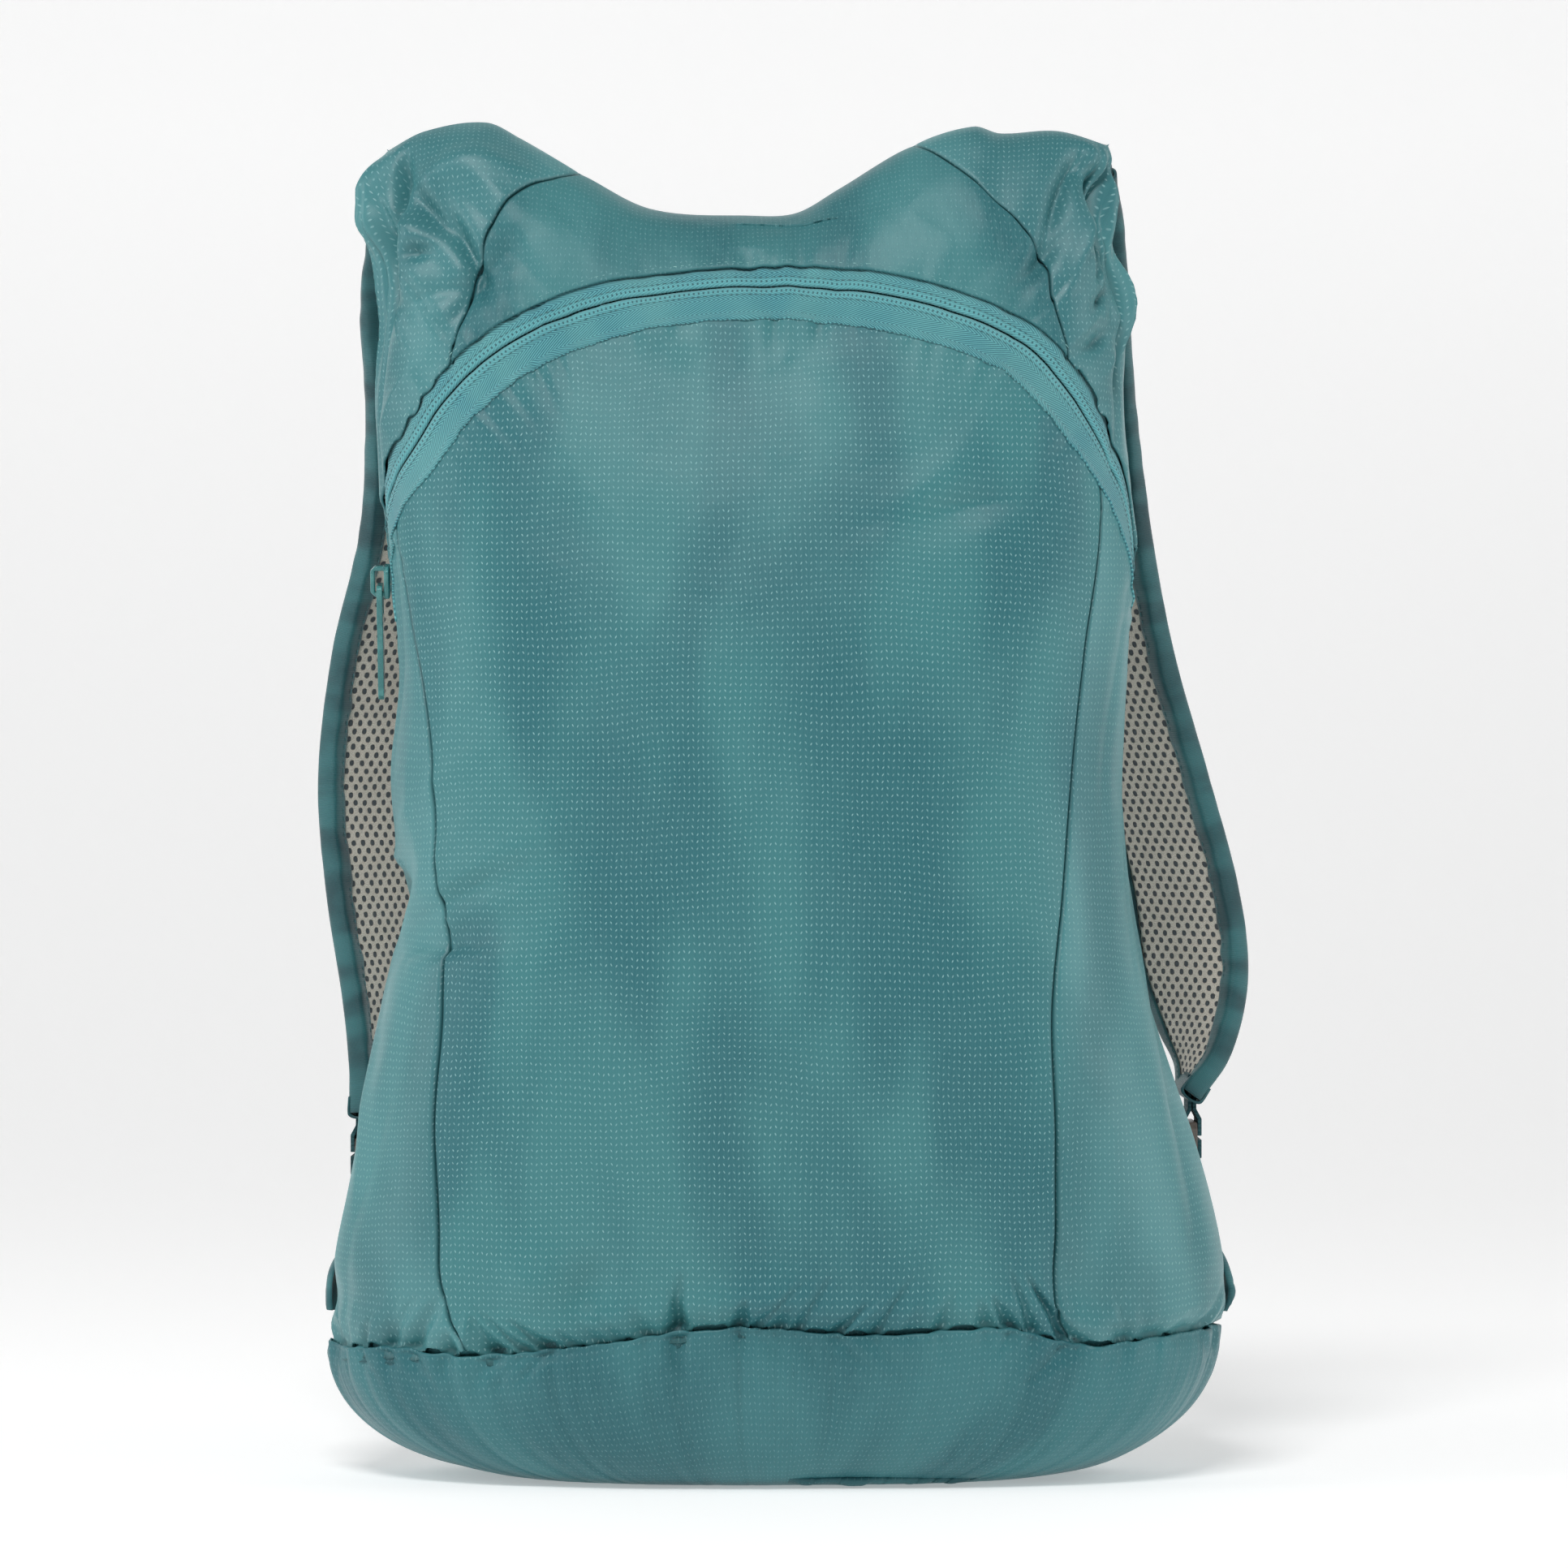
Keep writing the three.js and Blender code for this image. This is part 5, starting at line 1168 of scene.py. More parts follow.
seamStart = {side: tuple(float(x) for x in baseSeamLine(way * bag["backSeam"], 0)(0))
             for side, way in sides.items()}
upperEnd, lowerEnd = ({"left": tuple(edge(0)), "right": tuple(edge(1))} for edge in (upperEdge, lowerEdge))
backSeam = {side: straight(seamStart[side], backSeamTop[side]) for side in sides}
shoulderFoot = {side: straight(backSeamTop[side], upperEnd[side]) for side in sides}
clothPanel("side_panel_left", (
    baseSeamLine(-bag["backSeam"], leftFoot), joined([
        (2, shoulderFoot["left"]), (2, straight(upperEnd["left"], lowerEnd["left"])),
        (4, spanOf(lowerEdge, 0, lowerShare["left"]))]),
    backSeam["left"], frontSeam["left"]), sideClothPaintedLit, "seam seam foot hem")
clothPanel("side_panel_right", (
    baseSeamLine(rightFoot, bag["backSeam"]), joined([
        (4, spanOf(lowerEdge, lowerShare["right"], 1)), (2, straight(lowerEnd["right"], upperEnd["right"])),
        (2, spanOf(shoulderFoot["right"], 1, 0))]),
    frontSeam["right"], backSeam["right"]), sideClothPaintedLit, "seam seam foot hem")

yokeEnds = {side: float(yokeSeam[side](1)[0]) for side in sides}
clothPanel("shoulder_panel_left", (
    joined([(2, shoulderFoot["left"]), (5, spanOf(upperEdge, 0, upperShare["left"]))]),
    ridge(-bag["backSeam"], yokeEnds["left"]), straight(backSeamTop["left"], (-bag["backSeam"], 1)),
    yokeSeam["left"]), sideClothPaintedLit, "seam seam hem ridge")
clothPanel("shoulder_panel_right", (
    joined([(5, spanOf(upperEdge, upperShare["right"], 1)), (2, spanOf(shoulderFoot["right"], 1, 0))]),
    ridge(yokeEnds["right"], bag["backSeam"]), yokeSeam["right"],
    straight(backSeamTop["right"], (bag["backSeam"], 1))), sideClothPaintedLit, "seam seam hem ridge")
clothPanel("top_yoke", (
    spanOf(upperEdge, upperShare["left"], upperShare["right"]), ridge(yokeEnds["left"], yokeEnds["right"]),
    yokeSeam["left"], yokeSeam["right"]), yokeCloth, "seam seam hem ridge")

backEnd = 4 - bag["backSeam"]
backFoot = float(baseSeamLine(bag["backSeam"], backEnd)(0)[1])


# The back panel's edge, up the back seam and on to the ridge
def backJoint(side, across):
    foot, top, end = (across, backFoot), (across, backSeamTop[side][1]), (across, 1)
    return joined([(3, straight(foot, top)), (2, straight(top, end))])


clothPanel("back_panel", (
    baseSeamLine(bag["backSeam"], backEnd), ridge(bag["backSeam"], backEnd),
    backJoint("right", bag["backSeam"]), backJoint("left", backEnd)),
    backCloth, "seam seam foot ridge")

for side in sides:
    seamAllowance(f"allowance_front_{side}", frontSeam[side])
    seamAllowance(f"allowance_yoke_{side}", spanOf(yokeSeam[side], 0, 0.97))
    seamAllowance(f"allowance_back_{side}", straight(seamStart[side], (backSeamTop[side][0], 0.98)))
seamAllowance("allowance_base", baseSeamLine(-2, 2), 3.0 * mm, 400)

base = {
    "turns": 461,
    "rings": 45,
    "floorRings": 5,
    "crowding": 1.6,
    "billow": 1.6 * mm,
    "scale": 34 * mm,
    "calm": 5 * mm,  # how far below the seam the billows begin
    "rim": 3 * mm,  # how far below the front panel's edge the rim lies in the flat places
    "depth": 75 * mm,  # what the cut has over its rim's outline
    "filled": 0.93,  # share of that rectangle which the cut fills
}


# The base is a bowl drawn in from the seam, then a flat foot that closes in the middle
def basePoint(turn, share):
    rim = clothPoint(turn, levelAt(turn, seamRise(turn)))
    past = np.clip((1 - share) / (1 - bag["footShare"]), 0, 1)
    rise = 1 - (1 - (1 - past) ** bag["baseRoundness"]) ** (1 / bag["baseRoundness"])
    return rim * np.stack([share, share, rise], -1)


def baseBowl():
    angle = math.pi / 2 * np.linspace(1, 0, base["rings"]) ** base["crowding"]
    past = 1 - np.clip(np.cos(angle), 0, 1) ** (2 / bag["baseRoundness"])
    shares = np.concatenate([np.linspace(0, bag["footShare"], base["floorRings"])[:-1],
                             1 - (1 - bag["footShare"]) * past])
    step = 4 / (base["turns"] - 1)
    turns = np.linspace(-2 - step, 2 + step, base["turns"] + 2)
    turn, share = np.meshgrid(turns, shares, indexing="ij")
    plain = basePoint(withinLap(turn), share)
    down = np.linalg.norm(np.diff(plain, axis=1), axis=-1)
    fall = np.concatenate([np.zeros((len(turns), 1)), np.cumsum(down, axis=1)], axis=1)
    sideways = flatPlace(turn, 0 * turn + footLevel)[..., 0]
    below = fall[:, -1:] - fall
    relief = base["billow"] * smoothStep(below, 0, base["calm"]) * bodyNoise(
        plain * [1, 1, 0.5], base["scale"], billow["seed"] + 9)
    relief += gathers["below"] * gatherDepth(sideways, below)
    relief *= smoothStep(share, bag["footShare"], 0.8)
    points = plain + gridNormals(plain) * relief[..., None]
    outer, seam = rolledIn(points, [None, None, None, "rim"])
    normals = gridNormals(outer)
    normals[share <= bag["footShare"]] = (0, 0, -1)
    outer[..., 2] = np.maximum(outer[..., 2], 0)
    inner = outer - normals * bag["wall"]
    flat = np.stack([sideways, fall - fall[:, -1:] - base["rim"]], -1)
    kept = slice(1, -1)
    piece = shellPiece("cloth_base_panel", outer[kept], inner[kept], baseCloth, flat[kept], seam[kept], "top")
    weld(piece)
    settle(piece, "ripstop", "base_panel")
    rim = plain[kept, -1]
    width, length = (float(rim[:, i].max() - rim[:, i].min()) + base["depth"] for i in (0, 1))


baseBowl()

footSeam = {
    "turns": (0.03, 0.45),
    "past": 0.66,  # how far from the rim to the foot it lies
    "half": 2.2 * mm,
    "proud": 1.5 * mm,
    "set": 1.6 * mm,
    "pucker": 5 * mm,
    "seed": 31,
    "columns": 150,
    "rows": 9,
    "ends": 0.05,
    "clear": 0.4 * mm,  # of the floor
    "shade": 0.35,
    "cut": 10 * mm,  # of which half is turned under
}


# The short gathered seam that shows at the front of the foot
def footSeamPiece():
    turn = np.linspace(*footSeam["turns"], footSeam["columns"])[:, None]
    side = np.linspace(-1, 1, footSeam["rows"])[None]
    middle = 1 - footSeam["past"] * (1 - bag["footShare"])
    ahead = 0.01
    step = basePoint(turn, middle + ahead + 0 * turn) - basePoint(turn, middle + 0 * turn)
    step = np.linalg.norm(step, axis=-1) / ahead
    points = basePoint(turn + 0 * side, middle + side * footSeam["half"] / step)
    normals = gridNormals(points)
    normals *= np.sign((normals * (0, -1, -1)).sum())
    run = flatPlace(turn, 0 * turn + footLevel)[..., 0]
    first, last = footSeam["turns"]
    ends = smoothStep(turn, first, first + footSeam["ends"])
    ends = ends * (1 - smoothStep(turn, last - footSeam["ends"], last))
    puckers = 0.75 + 0.35 * softNoise(run / footSeam["pucker"], 0, footSeam["seed"])
    swell = footSeam["proud"] * puckers * ends * np.sqrt(1 - 0.98 * side ** 2)
    outer = points + normals * swell[..., None]
    outer[..., 2] = np.maximum(outer[..., 2], footSeam["clear"])
    inner = outer - normals * footSeam["set"]
    flat = pairs(run, side * footSeam["half"])
    # Painted shade: the seam attribute of footSeam shade mixes some of the dark seam colour into this seam
    shade = 0 * points[..., 0] + footSeam["shade"]
    piece = shellPiece("seam_foot_front", outer, inner, baseCloth, flat, shade)
    settle(piece, "ripstop")


footSeamPiece()

print("zip: tapes, coil and stitches")
zipShares = crowdEdges(420, 0)


def tapePiece(node, near, far, edges):
    distances = np.linspace(near, far, 11)
    frayed = zipper["frayed"] * np.random.default_rng(9).uniform(-1, 1, len(zipShares)) * (far < 0)
    grids = [tapeLine((distance + frayed * (i == 0))[:, None])(zipShares)
             for i, distance in enumerate(distances)]
    across, level = (np.stack([grid[i] for grid in grids], 1) for i in (0, 1))
    points = clothPoint(across, level)
    hem, drop = zipper["lowerTape"], -zipper["overRise"]
    if far > 0:
        hem, drop = zipper["upperTape"], zipper["underHem"]
    sunk = zipper["tapeSunk"] + drop * smoothStep(np.abs(distances) - hem, -2 * mm, 1 * mm)
    outer, seam = rolledIn(points - gridNormals(points) * sunk[None, :, None], edges)
    inner = outer - gridNormals(outer) * zipper["tapeWall"]
    run = np.interp(zipShares, slitShares, slitRun)
    flat = pairs(run[:, None], distances[None])
    piece = shellPiece(node.replace("zip_tape", "tape"), outer, inner, tapeCloth, flat, seam)
    settle(piece, "zip_tape", node)


upperHem, lowerHem = zipper["upperTape"] + zipper["tuckedIn"], zipper["lowerTape"] + zipper["overCloth"]
tapePiece("zip_tape_upper", zipper["halfSlit"], upperHem, [None, None, "slit", None])
tapePiece("zip_tape_lower", -lowerHem, -zipper["halfSlit"], [None, None, None, "slit"])


# A geometry tree that sets copies of one small form along a line of points, ending as a plain mesh
def rowTree(name, numbers, form):
    tree = bpy.data.node_groups.new(name, "GeometryNodeTree")
    kinds = {"Line": "Geometry", **dict.fromkeys(numbers, "Float"), "Seed": "Int", "Material": "Material"}
    for key, kind in kinds.items():
        tree.interface.new_socket(key, in_out="INPUT", socket_type="NodeSocket" + kind)
    tree.interface.new_socket("Row", in_out="OUTPUT", socket_type="NodeSocketGeometry")
    given = signals(tree.nodes.new("NodeGroupInput"))
    curve = made("GeometryNodeMeshToCurve", {0: given["Line"]})
    spaced = {"Curve": curve, "Length": given["Pitch"]}
    points = signals(addNode(tree, "GeometryNodeCurveToPoints", spaced, mode="LENGTH"))
    mesh, scale = form(tree, given)
    chance = made("FunctionNodeRandomValue", {2: 0.86, 3: 1.1, "Seed": given["Seed"]}, 1, data_type="FLOAT")
    placed = made("GeometryNodeInstanceOnPoints", {
        "Points": points["Points"], "Instance": mesh, "Rotation": points["Rotation"],
        "Scale": vectorMaths("SCALE", {0: scale, 3: chance})})
    smooth = made("GeometryNodeSetShadeSmooth", {0: made("GeometryNodeRealizeInstances", {0: placed})})
    covered = made("GeometryNodeSetMaterial", {"Geometry": smooth, "Material": given["Material"]})
    feed(covered, tree.nodes.new("NodeGroupOutput").inputs[0])
    return tree


def stitchForm(tree, given):
    grain = made("GeometryNodeMeshUVSphere", {"Segments": 6, "Rings": 5, "Radius": 0.5}, tree=tree)
    return grain, made("ShaderNodeCombineXYZ", {0: given["Width"], 1: given["Width"], 2: given["Length"]})


def coilForm(tree, given):
    ring, wire = (made("GeometryNodeCurvePrimitiveCircle", {"Resolution": corners, "Radius": given[radius]})
                  for corners, radius in ((9, "Radius"), (4, "Wire")))
    mesh = made("GeometryNodeCurveToMesh", {"Curve": ring, "Profile Curve": wire})
    return mesh, made("ShaderNodeCombineXYZ", {0: 1.0, 1: 1.0, 2: 1.0}, tree=tree)


stitchTree = rowTree("stitchRow", ("Pitch", "Length", "Width"), stitchForm)
coilTree = rowTree("coilRow", ("Pitch", "Radius", "Wire"), coilForm)


# Runs a tree along lines of points and keeps the result as one plain piece
def rowPiece(name, lines, tree, values, material, finish, *nodes, body="bag"):
    starts = np.cumsum([0] + [len(line) for line in lines])
    edges = [(start + i, start + i + 1) for start, line in zip(starts, lines) for i in range(len(line) - 1)]
    mesh = bpy.data.meshes.new(name + "Lines")
    mesh.from_pydata([tuple(point) for line in lines for point in line], edges, [])
    source = linked(name + "Lines", mesh)
    modifier = source.modifiers.new("row", "NODES")
    modifier.node_group = tree
    sockets = {item.name: item.identifier for item in tree.interface.items_tree if item.in_out == "INPUT"}
    for key, value in {**values, "Material": material}.items():
        modifier[sockets[key]] = value
    result = bpy.data.meshes.new_from_object(source.evaluated_get(bpy.context.evaluated_depsgraph_get()))
    source.modifiers.remove(modifier)
    bpy.data.objects.remove(source)
    if not result.materials:
        result.materials.append(material)
    result.name = name
    return settle(linked(name, result), finish, *nodes, body=body)


# Stitches of a pitch, length and width in millimetres along lines of points
def stitchRows(name, lines, measures, seed, thread, finish):
    values = {key: measure * mm for key, measure in zip(("Pitch", "Length", "Width"), measures)}
    return rowPiece(name, lines, stitchTree, values | {"Seed": seed}, thread, finish)


def slitLine(distance, sunk, count=500):
    across, level = tapeLine(distance)(np.linspace(0, 1, count))
    return clothPoint(across, level) - bodyNormal(across, level) * sunk


rowPiece(
    "coil_teeth", [slitLine(way * zipper["coilHalf"], zipper["coilSunk"]) for way in (-1, 1)], coilTree,
    {"Pitch": zipper["toothPitch"], "Radius": zipper["toothRadius"], "Wire": zipper["toothWire"], "Seed": 1},
    coilPlastic, "zip_tape", "zip_coil")
tapeSeams = [zipper["slitStitches"], -zipper["slitStitches"], zipper["hemStitches"] - zipper["lowerTape"]]
stitchRows("tape_stitches", [slitLine(distance, zipper["tapeSunk"]) for distance in tapeSeams],
           (2.1, 1.5, 0.34), 2, darkThread, "zip_tape")
yokeLine = slitLine(zipper["upperTape"] + zipper["yokeStitches"], zipper["yokeStitchSunk"], 400)
stitchRows("yoke_stitches", [yokeLine], (2.4, 1.7, 0.34), 3, paleThread, "ripstop")

print("straps: cloth, mesh and bindings")
strap = {
    "width": 56 * mm,
    "face": (-0.15 * mm, -1.35 * mm),
    "mesh": (0.15 * mm, 3.15 * mm),
    "meshCrown": 0.9 * mm,
    # how far in from the binding the layers are pressed thin, and by how much
    "pinch": (7 * mm, 0.7 * mm),
    "pinched": 3 * mm,
    "seamShade": (4.5 * mm, 8 * mm),
    "waveLength": 16 * mm,
    "seed": 31,
    "bindingWidth": 5.5 * mm,
    "bindingGap": 0.6 * mm,
    "bindingWall": 1.0 * mm,
    "bindingNose": 2.6 * mm,
    "bindingCorners": 15,
    "lipTaper": 0.35 * mm,
    "ripple": 0.35 * mm,
    "rippleLength": 5.5 * mm,
    "bedding": {"left": 1 * mm, "right": -0.2 * mm},
    "rows": 190,
}
# How deep the lips of the bindings lie, before and behind the layers
strapLips = (strap["face"][1] - strap["bindingGap"], strap["mesh"][1] + strap["bindingGap"])


# How far back the strap's root lies, resting on the back panel
def strapRoot(side):
    rows = strapTables[side]
    rise, out = rows["rise"][0], rows["out"][0]
    half = float((halfLeft if side == "left" else halfRight)(rise)) * bag["halfWidth"]
    reach = (out * bag["halfWidth"] - strap["width"] * np.linspace(0, 1, 9)) / half
    across = sides[side] * (2 - acrossAt(np.minimum(reach, 0.99)))
    deepest = bodyPoint(across, levelAt(across, rise))[..., 1].max()
    return deepest + strap["mesh"][1] - strap["mesh"][0] - strap["bedding"][side]


strapRoots = {side: float(strapRoot(side)) for side in sides}


# Outer edge, cross direction, mesh-side direction and width of a strap at shares of its run
def strapFrame(side, share):
    rows, way = strapTables[side], sides[side]

    def outerAt(at):
        back = strapRoots[side] + runCurve(rows, "back")(at) * bag["depth"]
        return np.stack([way * runCurve(rows, "out")(at) * bag["halfWidth"], back,
                         runCurve(rows, "rise")(at) * bag["height"]], -1)

    turn = np.radians(runCurve(rows, "turn")(share))
    cross = np.stack([-way * np.cos(turn), np.sin(turn), 0 * turn], -1)
    ahead = outerAt(np.minimum(share + 0.01, 1)) - outerAt(np.maximum(share - 0.01, 0))
    meshSide = unit(np.cross(ahead, cross)) * -way
    return outerAt(share), cross, meshSide, runCurve(rows, "wide")(share) * strap["width"]


# Points of a layer: across as a share of the width, deep in distances along the mesh side
def strapPoints(frame, across, deep):
    outer, cross, meshSide, width = frame
    reach = across[:, None] * width[None]
    return outer[None] + cross[None] * reach[..., None] + meshSide[None] * deep[..., None]


def strapLayer(side, levels, crown, columns, name, material):
    near, far = levels
    share = np.linspace(0, 1, strap["rows"])
    frame = strapFrame(side, share)
    across = crowdEdges(columns, 0.5)
    width, run = frame[3], runAlong(frame[0])
    toEdge = np.minimum(across, 1 - across)[:, None] * width[None]
    reach, press = strap["pinch"]
    pressed = press * (1 - smoothStep(toEdge, strap["pinched"], reach))
    swell = crown * np.sin(math.pi * across)[:, None] ** 0.7
    wave = strap["ripple"] * softNoise(run[None] / strap["waveLength"], across[:, None] * 3, strap["seed"])
    settled = smoothStep(share, 0.08, 0.16)[None] * (1 - smoothStep(share, 0.9, 1))[None]
    sign = 1 if far > near else -1
    outer = strapPoints(frame, across, far + sign * (swell * settled - pressed) + wave * settled)
    inner = strapPoints(frame, across, near + 0 * toEdge)
    flat = pairs(across[:, None] * width[None], run[None])
    # Painted shade along the bound edges: the face cloth reads this as its seam attribute and is mixed
    # towards the dark seam colour there
    seam = smoothStep(toEdge, *strap["seamShade"])
    piece = shellPiece(name, outer, inner, material, flat, seam)
    return piece, float(run[-1]), flat


# A rounded C section: a straight lip, round the edge of the layers, and the other lip
def bindingSection(wall):
    low, high = strapLips
    middle, half = (low + high) / 2, (high - low) / 2 + wall
    nose = strap["bindingNose"]
    angles = np.linspace(-math.pi / 2, math.pi / 2, strap["bindingCorners"])
    bulge = np.sign(np.sin(angles)) * np.abs(np.sin(angles)) ** 0.85
    edge = -(strap["bindingGap"] + wall)
    across = edge + nose * (1 - np.abs(np.cos(angles)) ** 0.75)
    lips = np.linspace(strap["bindingWidth"], edge + nose, 6)[:-1]
    lipDeep = half - strap["lipTaper"] * (lips - lips[-1]) / (lips[0] - lips[-1])
    deep = np.concatenate([middle - lipDeep, middle + half * bulge, middle + lipDeep[::-1]])
    return np.concatenate([lips, across, lips[::-1]]), deep


def strapBinding(side, edge, name):
    share = np.linspace(0, 1, strap["rows"] + 60)
    frame = strapFrame(side, share)
    outer, cross, meshSide, width = frame
    run = runAlong(outer)
    grids = []
    for wall in (strap["bindingWall"], 0.0):
        across, deep = bindingSection(wall)
        section = np.arange(len(across)) / (len(across) - 1)
        ripple = strap["ripple"] * softNoise(
            run[None] / strap["rippleLength"], section[:, None] * 4, strap["seed"] + 10 + len(name))
        lips = np.abs(section[:, None] - 0.5) * 2
        deepRippled = deep[:, None] + ripple * np.sign(deep[:, None] - sum(strapLips) / 2) * lips
        reach = across[:, None] + ripple * 0.8
        if edge == "inner":
            reach = width[None] - reach
        grids.append(outer[None] + cross[None] * reach[..., None] + meshSide[None] * deepRippled[..., None])
    sectionRun = runAlong(np.stack([across, deep], -1))
    flat = pairs(run[None], sectionRun[:, None])
    piece = shellPiece(name, grids[0], grids[1], bindingCloth, flat)
    settle(piece, "binding", f"strap_binding_{edge}_{side}")


endTape = {
    "overhang": 0.4 * mm,
    "outer": 0.6 * mm,  # how much further out than the bindings it lies
    "inner": -0.2 * mm,
    "columns": 24,
    "stitchInsets": (1.6 * mm, 3.6 * mm),
    "stitchEnds": 2 * mm,
    "stitchPoints": 40,
    "stitchProud": 0.35 * mm,
}
bindingStitch = {"inset": 1.3 * mm, "sunk": 0.15 * mm, "points": 300}


# A folded tape across an end of the strap, where the webbing or the bag's seam takes it
def strapEndTape(side, end):
    name = "binding_foot_" if end else "binding_root_"
    outer, cross, meshSide, width = strapFrame(side, np.array([end, abs(end - 0.03)]))
    ahead = unit(outer[0] - outer[1])
    reach = np.linspace(-endTape["overhang"], width[0] + endTape["overhang"], endTape["columns"])
    grids = []
    for wall in (strap["bindingWall"] + endTape[layer] for layer in ("outer", "inner")):
        inward, deep = bindingSection(wall)
        points = outer[0] + cross[0] * reach[:, None, None] + meshSide[0] * deep[None, :, None]
        grids.append(points - ahead * inward[None, :, None])
    sectionRun = runAlong(np.stack([inward, deep], -1))
    flat = pairs(reach[:, None], sectionRun[None])
    piece = settle(shellPiece(name + side, grids[0], grids[1], bindingCloth, flat), "binding")
    across = np.linspace(endTape["stitchEnds"], width[0] - endTape["stitchEnds"], endTape["stitchPoints"])
    low, high = strapLips
    wall = strap["bindingWall"] + endTape["stitchProud"]
    lines = [outer[0] + cross[0] * across[:, None] + meshSide[0] * deep - ahead * inset
             for deep in (low - wall, high + wall) for inset in endTape["stitchInsets"]]
    stitchRows(name + "stitches_" + side, lines, (2.1, 1.6, 0.4), 6, darkThread, "binding")


def bindingStitches(side):
    outer, cross, meshSide, width = strapFrame(side, np.linspace(0.005, 0.995, bindingStitch["points"]))
    low, high = strapLips
    lip = strap["bindingWidth"] - bindingStitch["inset"]
    wall = strap["bindingWall"] - bindingStitch["sunk"]
    lines = [outer + cross * reach[:, None] + meshSide * deep
             for reach in (lip + 0 * width, width - lip) for deep in (low - wall, high + wall)]
    stitchRows(f"binding_stitches_{side}", lines, (2.7, 1.9, 0.4), 4, darkThread, "binding")


for side in sides:
    face, length, flat = strapLayer(side, strap["face"], 0.4 * mm, 26, f"strap_cloth_{side}", backCloth)
    settle(face, "ripstop", f"strap_face_{side}")
    pad, _, _ = strapLayer(side, strap["mesh"], strap["meshCrown"], 30, f"strap_pad_{side}", meshCloth)
    settle(pad, "air_mesh", f"strap_mesh_{side}")
    for edge in ("outer", "inner"):
        strapBinding(side, edge, f"binding_{edge}_{side}")
    bindingStitches(side)
    for end in (1.0, 0.0):
        strapEndTape(side, end)

print("hardware: slider, pull, ladder locks and webbing")


# A merged copy of a CAD piece with its edges rounded off
def roundedCopy(node, name, material, finish, bevel, body="bag", flat=None, raised=0.0):
    shape = bmesh.new()
    shape.from_mesh(frame["nodes"][node].data)
    bmesh.ops.remove_doubles(shape, verts=shape.verts, dist=0.005 * mm)
    top = max(vertex.co.z for vertex in shape.verts)
    for vertex in shape.verts:
        if vertex.co.z > top - 0.5 * mm:  # runs on up into the piece that it is sewn to
            vertex.co.z += raised
    bmesh.ops.dissolve_limit(shape, angle_limit=math.radians(4), verts=shape.verts, edges=shape.edges)
    sharp = [edge for edge in shape.edges
             if len(edge.link_faces) == 2 and edge.calc_face_angle() > math.radians(28)]
    bmesh.ops.bevel(shape, geom=sharp, offset=bevel, segments=3, profile=0.5, affect="EDGES",
                    clamp_overlap=True)
    bmesh.ops.triangulate(shape, faces=shape.faces)
    mesh = bpy.data.meshes.new(name)
    shape.to_mesh(mesh)
    shape.free()
    mesh.shade_smooth()
    if flat:
        layer = mesh.uv_layers.new(name="clothPlace")
        for loop in mesh.loops:
            place = mesh.vertices[loop.vertex_index].co
            layer.data[loop.index].uv = (place[flat[0]], place[flat[1]])
    mesh.materials.append(material)
    piece = linked(name, mesh)
    bend = piece.modifiers.new("flatFaces", "WEIGHTED_NORMAL")
    bend.keep_sharp = False
    return settle(piece, finish, node, body=body)


roundedCopy("zip_slider", "slider_moulded", paintedMetal, "painted_metal", 0.45 * mm)
roundedCopy("zip_pull", "pull_moulded", paintedMetal, "painted_metal", 0.5 * mm, body="pull")
for side in sides:
    roundedCopy(f"ladder_lock_{side}", f"ladder_moulded_{side}", greyPlastic, "grey_plastic", 0.55 * mm)
    for node, name, raised in (
            ("strap_loop", "loop_webbing", 9 * mm), ("strap_webbing", "lock_webbing", 0.0)):
        roundedCopy(f"{node}_{side}", f"{name}_{side}", webbingCloth, "binding", 0.25 * mm, flat=(2, 1),
                    raised=raised)

print("anchors: from the webbing down to the base seam")
anchor = {
    # where it meets the base seam, across the body, and how high
    "near": 1.0,
    "far": 1.26,
    "seatRise": 0.12,
    # where it takes the webbing, from the middle of the strap's end
    "loadLayer": -4.25 * mm,
    "top": -41.5 * mm,
    "webbing": 20 * mm,
    "cadWall": 2.6 * mm,
    "wall": 2.4 * mm,
    "gap": 0.6 * mm,
    "billow": 3.5 * mm,
    "crease": 0.5 * mm,
    "seed": 61,
    "columns": 30,
    "rows": 60,
    "flat": (60 * mm, 34 * mm),
}


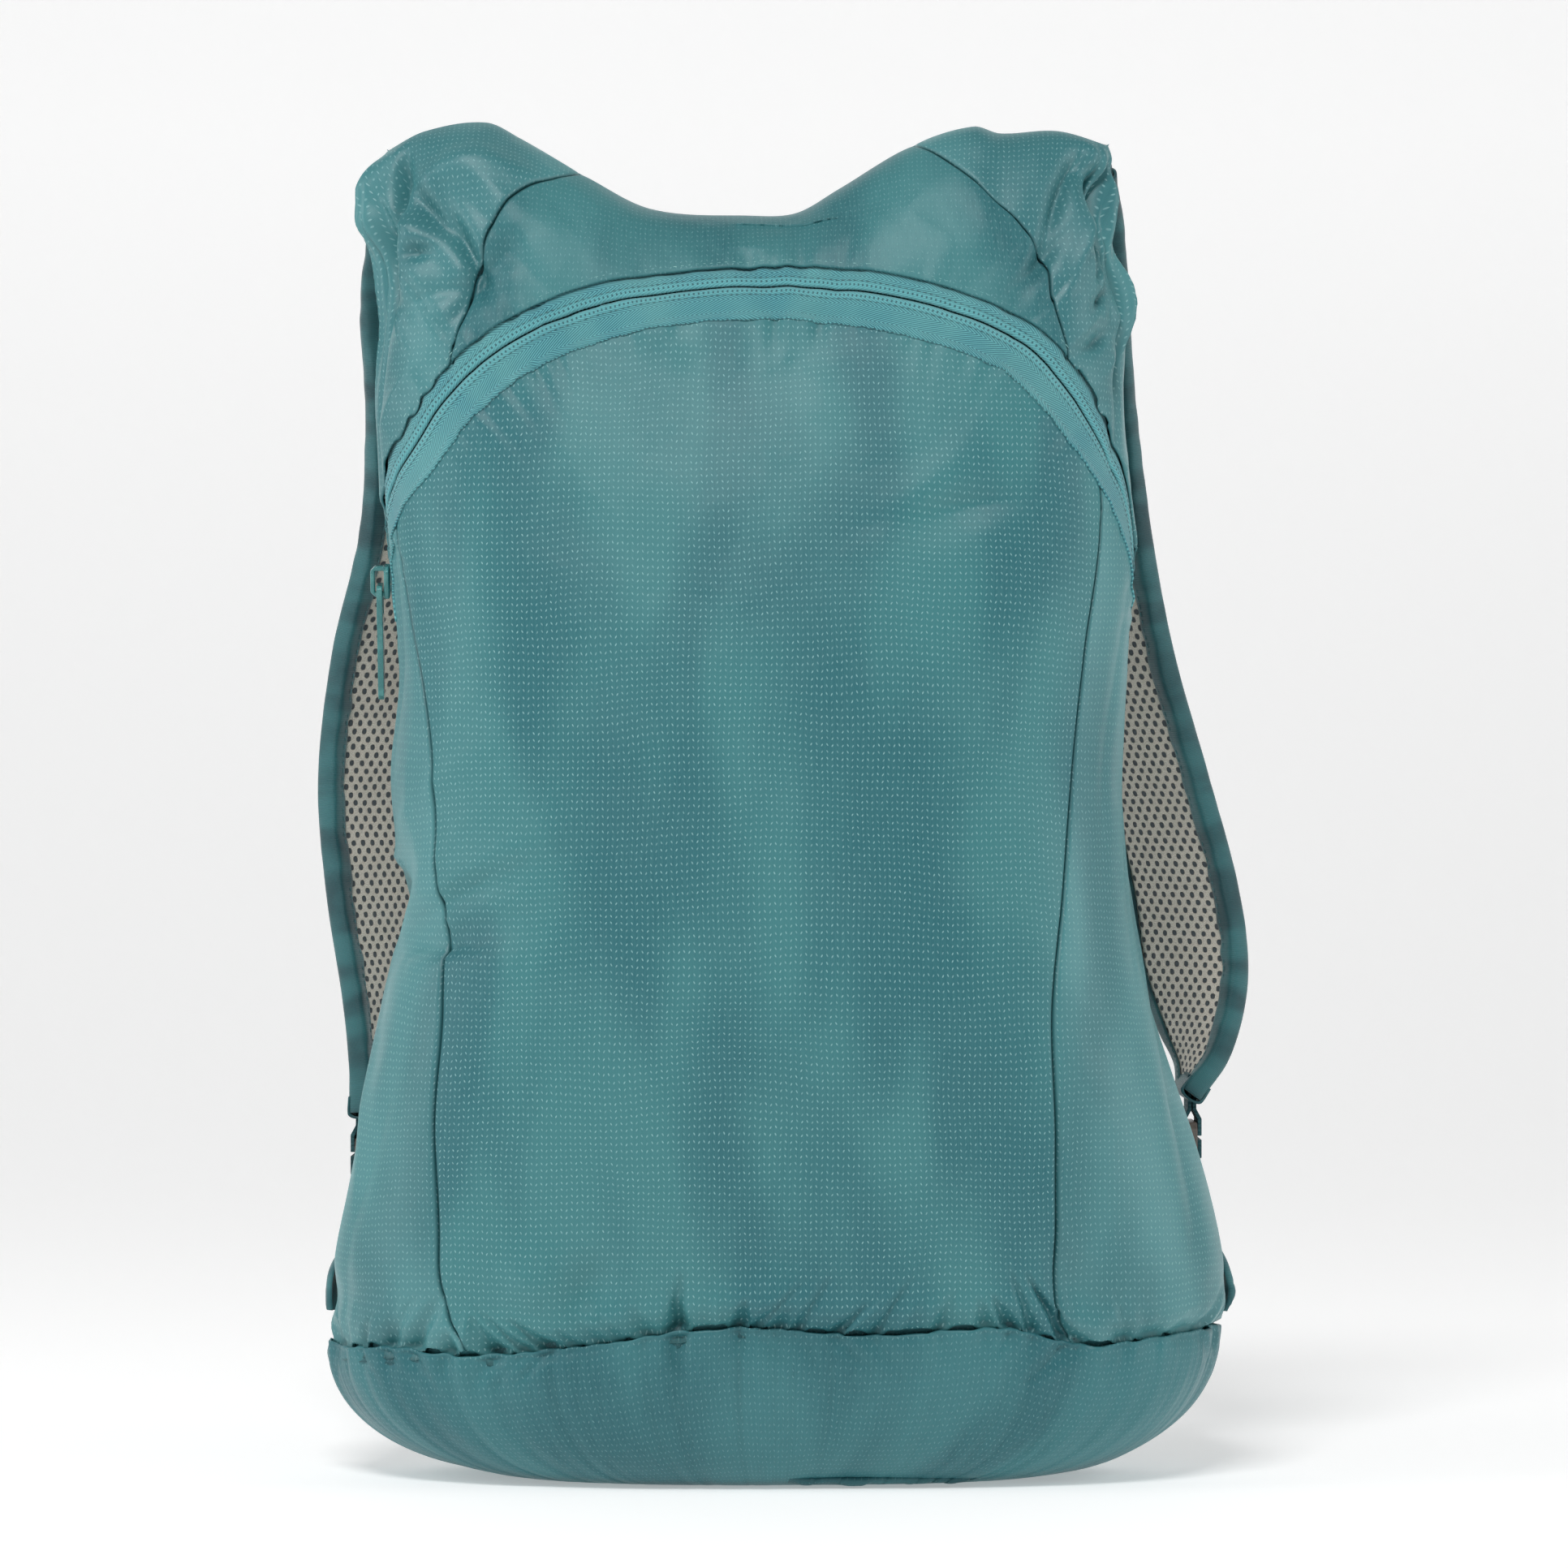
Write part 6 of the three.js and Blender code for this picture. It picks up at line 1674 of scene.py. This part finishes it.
def addAnchor(side):
    way = sides[side]
    outer, cross, _, width = strapFrame(side, np.array([1.0]))
    end = (outer + cross * width[:, None] / 2)[0]
    u, v = np.linspace(0, 1, anchor["columns"])[:, None], np.linspace(0, 1, anchor["rows"])[None]
    across = way * (anchor["near"] + (anchor["far"] - anchor["near"]) * u)
    level = levelAt(across, anchor["seatRise"])
    normal = bodyNormal(across, level)
    top = np.stack([np.broadcast_to(end[0] + way * (anchor["loadLayer"] - anchor["cadWall"] / 2), u.shape),
                    end[1] + anchor["webbing"] * (u - 0.5),
                    np.broadcast_to(end[2] + anchor["top"], u.shape)], -1)
    climb = (top[..., 2] / bag["height"] - anchor["seatRise"]) * v
    onCloth = clothPoint(across + 0 * v, level + climb)
    lift = anchor["gap"] + anchor["billow"] * np.sin(math.pi * v)
    hung = onCloth + normal * lift[..., None]
    eased = (v ** 2)[..., None]
    inner = hung * (1 - eased) + top * eased
    out = unit(normal * (1 - v[..., None]) + np.array([way, 0, 0]) * v[..., None])
    edge = np.minimum(np.minimum(u, 1 - u) * 9, 1)
    creased = anchor["crease"] * softNoise(u * 4, v * 3, anchor["seed"] + way)
    thick = (anchor["wall"] + creased) * (0.55 + 0.45 * np.sqrt(1 - (1 - edge) ** 2)) + 0 * v
    flat = pairs(v * anchor["flat"][0], u * anchor["flat"][1])
    seam = smoothStep(np.minimum(u, 1 - u) + 0 * v, 0.02, 0.12)
    piece = shellPiece(f"anchor_cloth_{side}", inner + out * thick[..., None], inner, anchorCloth, flat, seam)
    settle(piece, "binding", f"strap_anchor_{side}")


for side in sides:
    addAnchor(side)

print("stage: floor, camera and lights")
camera = {"lens": 135, "sensor": 36, "back": 1.956, "x": 0.00486, "z": 0.2292, "near": 0.05, "far": 50}
cameraData = bpy.data.cameras.new("camera")
cameraData.lens, cameraData.sensor_width = camera["lens"], camera["sensor"]
cameraData.clip_start, cameraData.clip_end = camera["near"], camera["far"]
cameraObject = linked("camera", cameraData)
cameraObject.location = (camera["x"], -camera["back"], camera["z"])
cameraObject.rotation_euler = (math.pi / 2, 0, 0)
bpy.context.scene.camera = cameraObject

floor = {"half": 4.0, "back": 1.6, "bend": 0.7, "height": 3.0, "glow": 0.32}
white = (1, 1, 1, 1)


def paperFinish():
    material, tree, inputs = newMaterial("palePaper", 0.9, specular=0.1)
    grain = noise(objectPlaceOf(tree), 900.0, 2.0)
    dress(inputs, mixed(grain, (0.86, 0.86, 0.86, 1), (0.9, 0.9, 0.9, 1)), grain, 0.05 * mm)
    inputs["Emission Color"].default_value = white
    inputs["Emission Strength"].default_value = floor["glow"]
    return material


def sweepFloor():
    bend = [(floor["back"] + floor["bend"] * math.sin(a), floor["bend"] * (1 - math.cos(a)))
            for a in np.linspace(0, math.pi / 2, 13)]
    profile = [(-floor["half"], 0)] + bend + [(bend[-1][0], floor["height"])]
    points = [(x, y, z) for y, z in profile for x in (-floor["half"], floor["half"])]
    faces = [(2 * i, 2 * i + 1, 2 * i + 3, 2 * i + 2) for i in range(len(profile) - 1)]
    mesh = bpy.data.meshes.new("floor")
    mesh.from_pydata(points, [], faces)
    mesh.shade_smooth()
    mesh.materials.append(paperFinish())
    linked("floor", mesh)


sweepFloor()


def softbox(name, place, aim, size, watts):
    data = bpy.data.lights.new(name, "AREA")
    data.shape, data.size, data.size_y, data.energy = "RECTANGLE", *size, watts
    light = linked(name, data)
    light.location = place
    light.rotation_euler = (Vector((0, 0, aim)) - Vector(place)).to_track_quat("-Z", "Y").to_euler()


# Each has its place, the height on the axis that it is aimed at, its size and its watts
softboxes = {
    "leftSoftbox": ((-1.7, -0.4, 0.8), 0.25, (0.6, 1.4), 9),
    "rightSoftbox": ((1.7, -0.35, 0.7), 0.25, (0.6, 1.4), 8),
    "keySoftbox": ((-0.35, -1.6, 2.0), 0.22, (0.9, 0.5), 32),
}
for name, values in softboxes.items():
    softbox(name, *values)
studio = {"Color": white, "Strength": 0.2}
world = bpy.data.worlds.new("studio")
world.use_nodes = True
for key, value in studio.items():
    world.node_tree.nodes["Background"].inputs[key].default_value = value
bpy.context.scene.world = world
bpy.context.scene.view_settings.view_transform = "Standard"
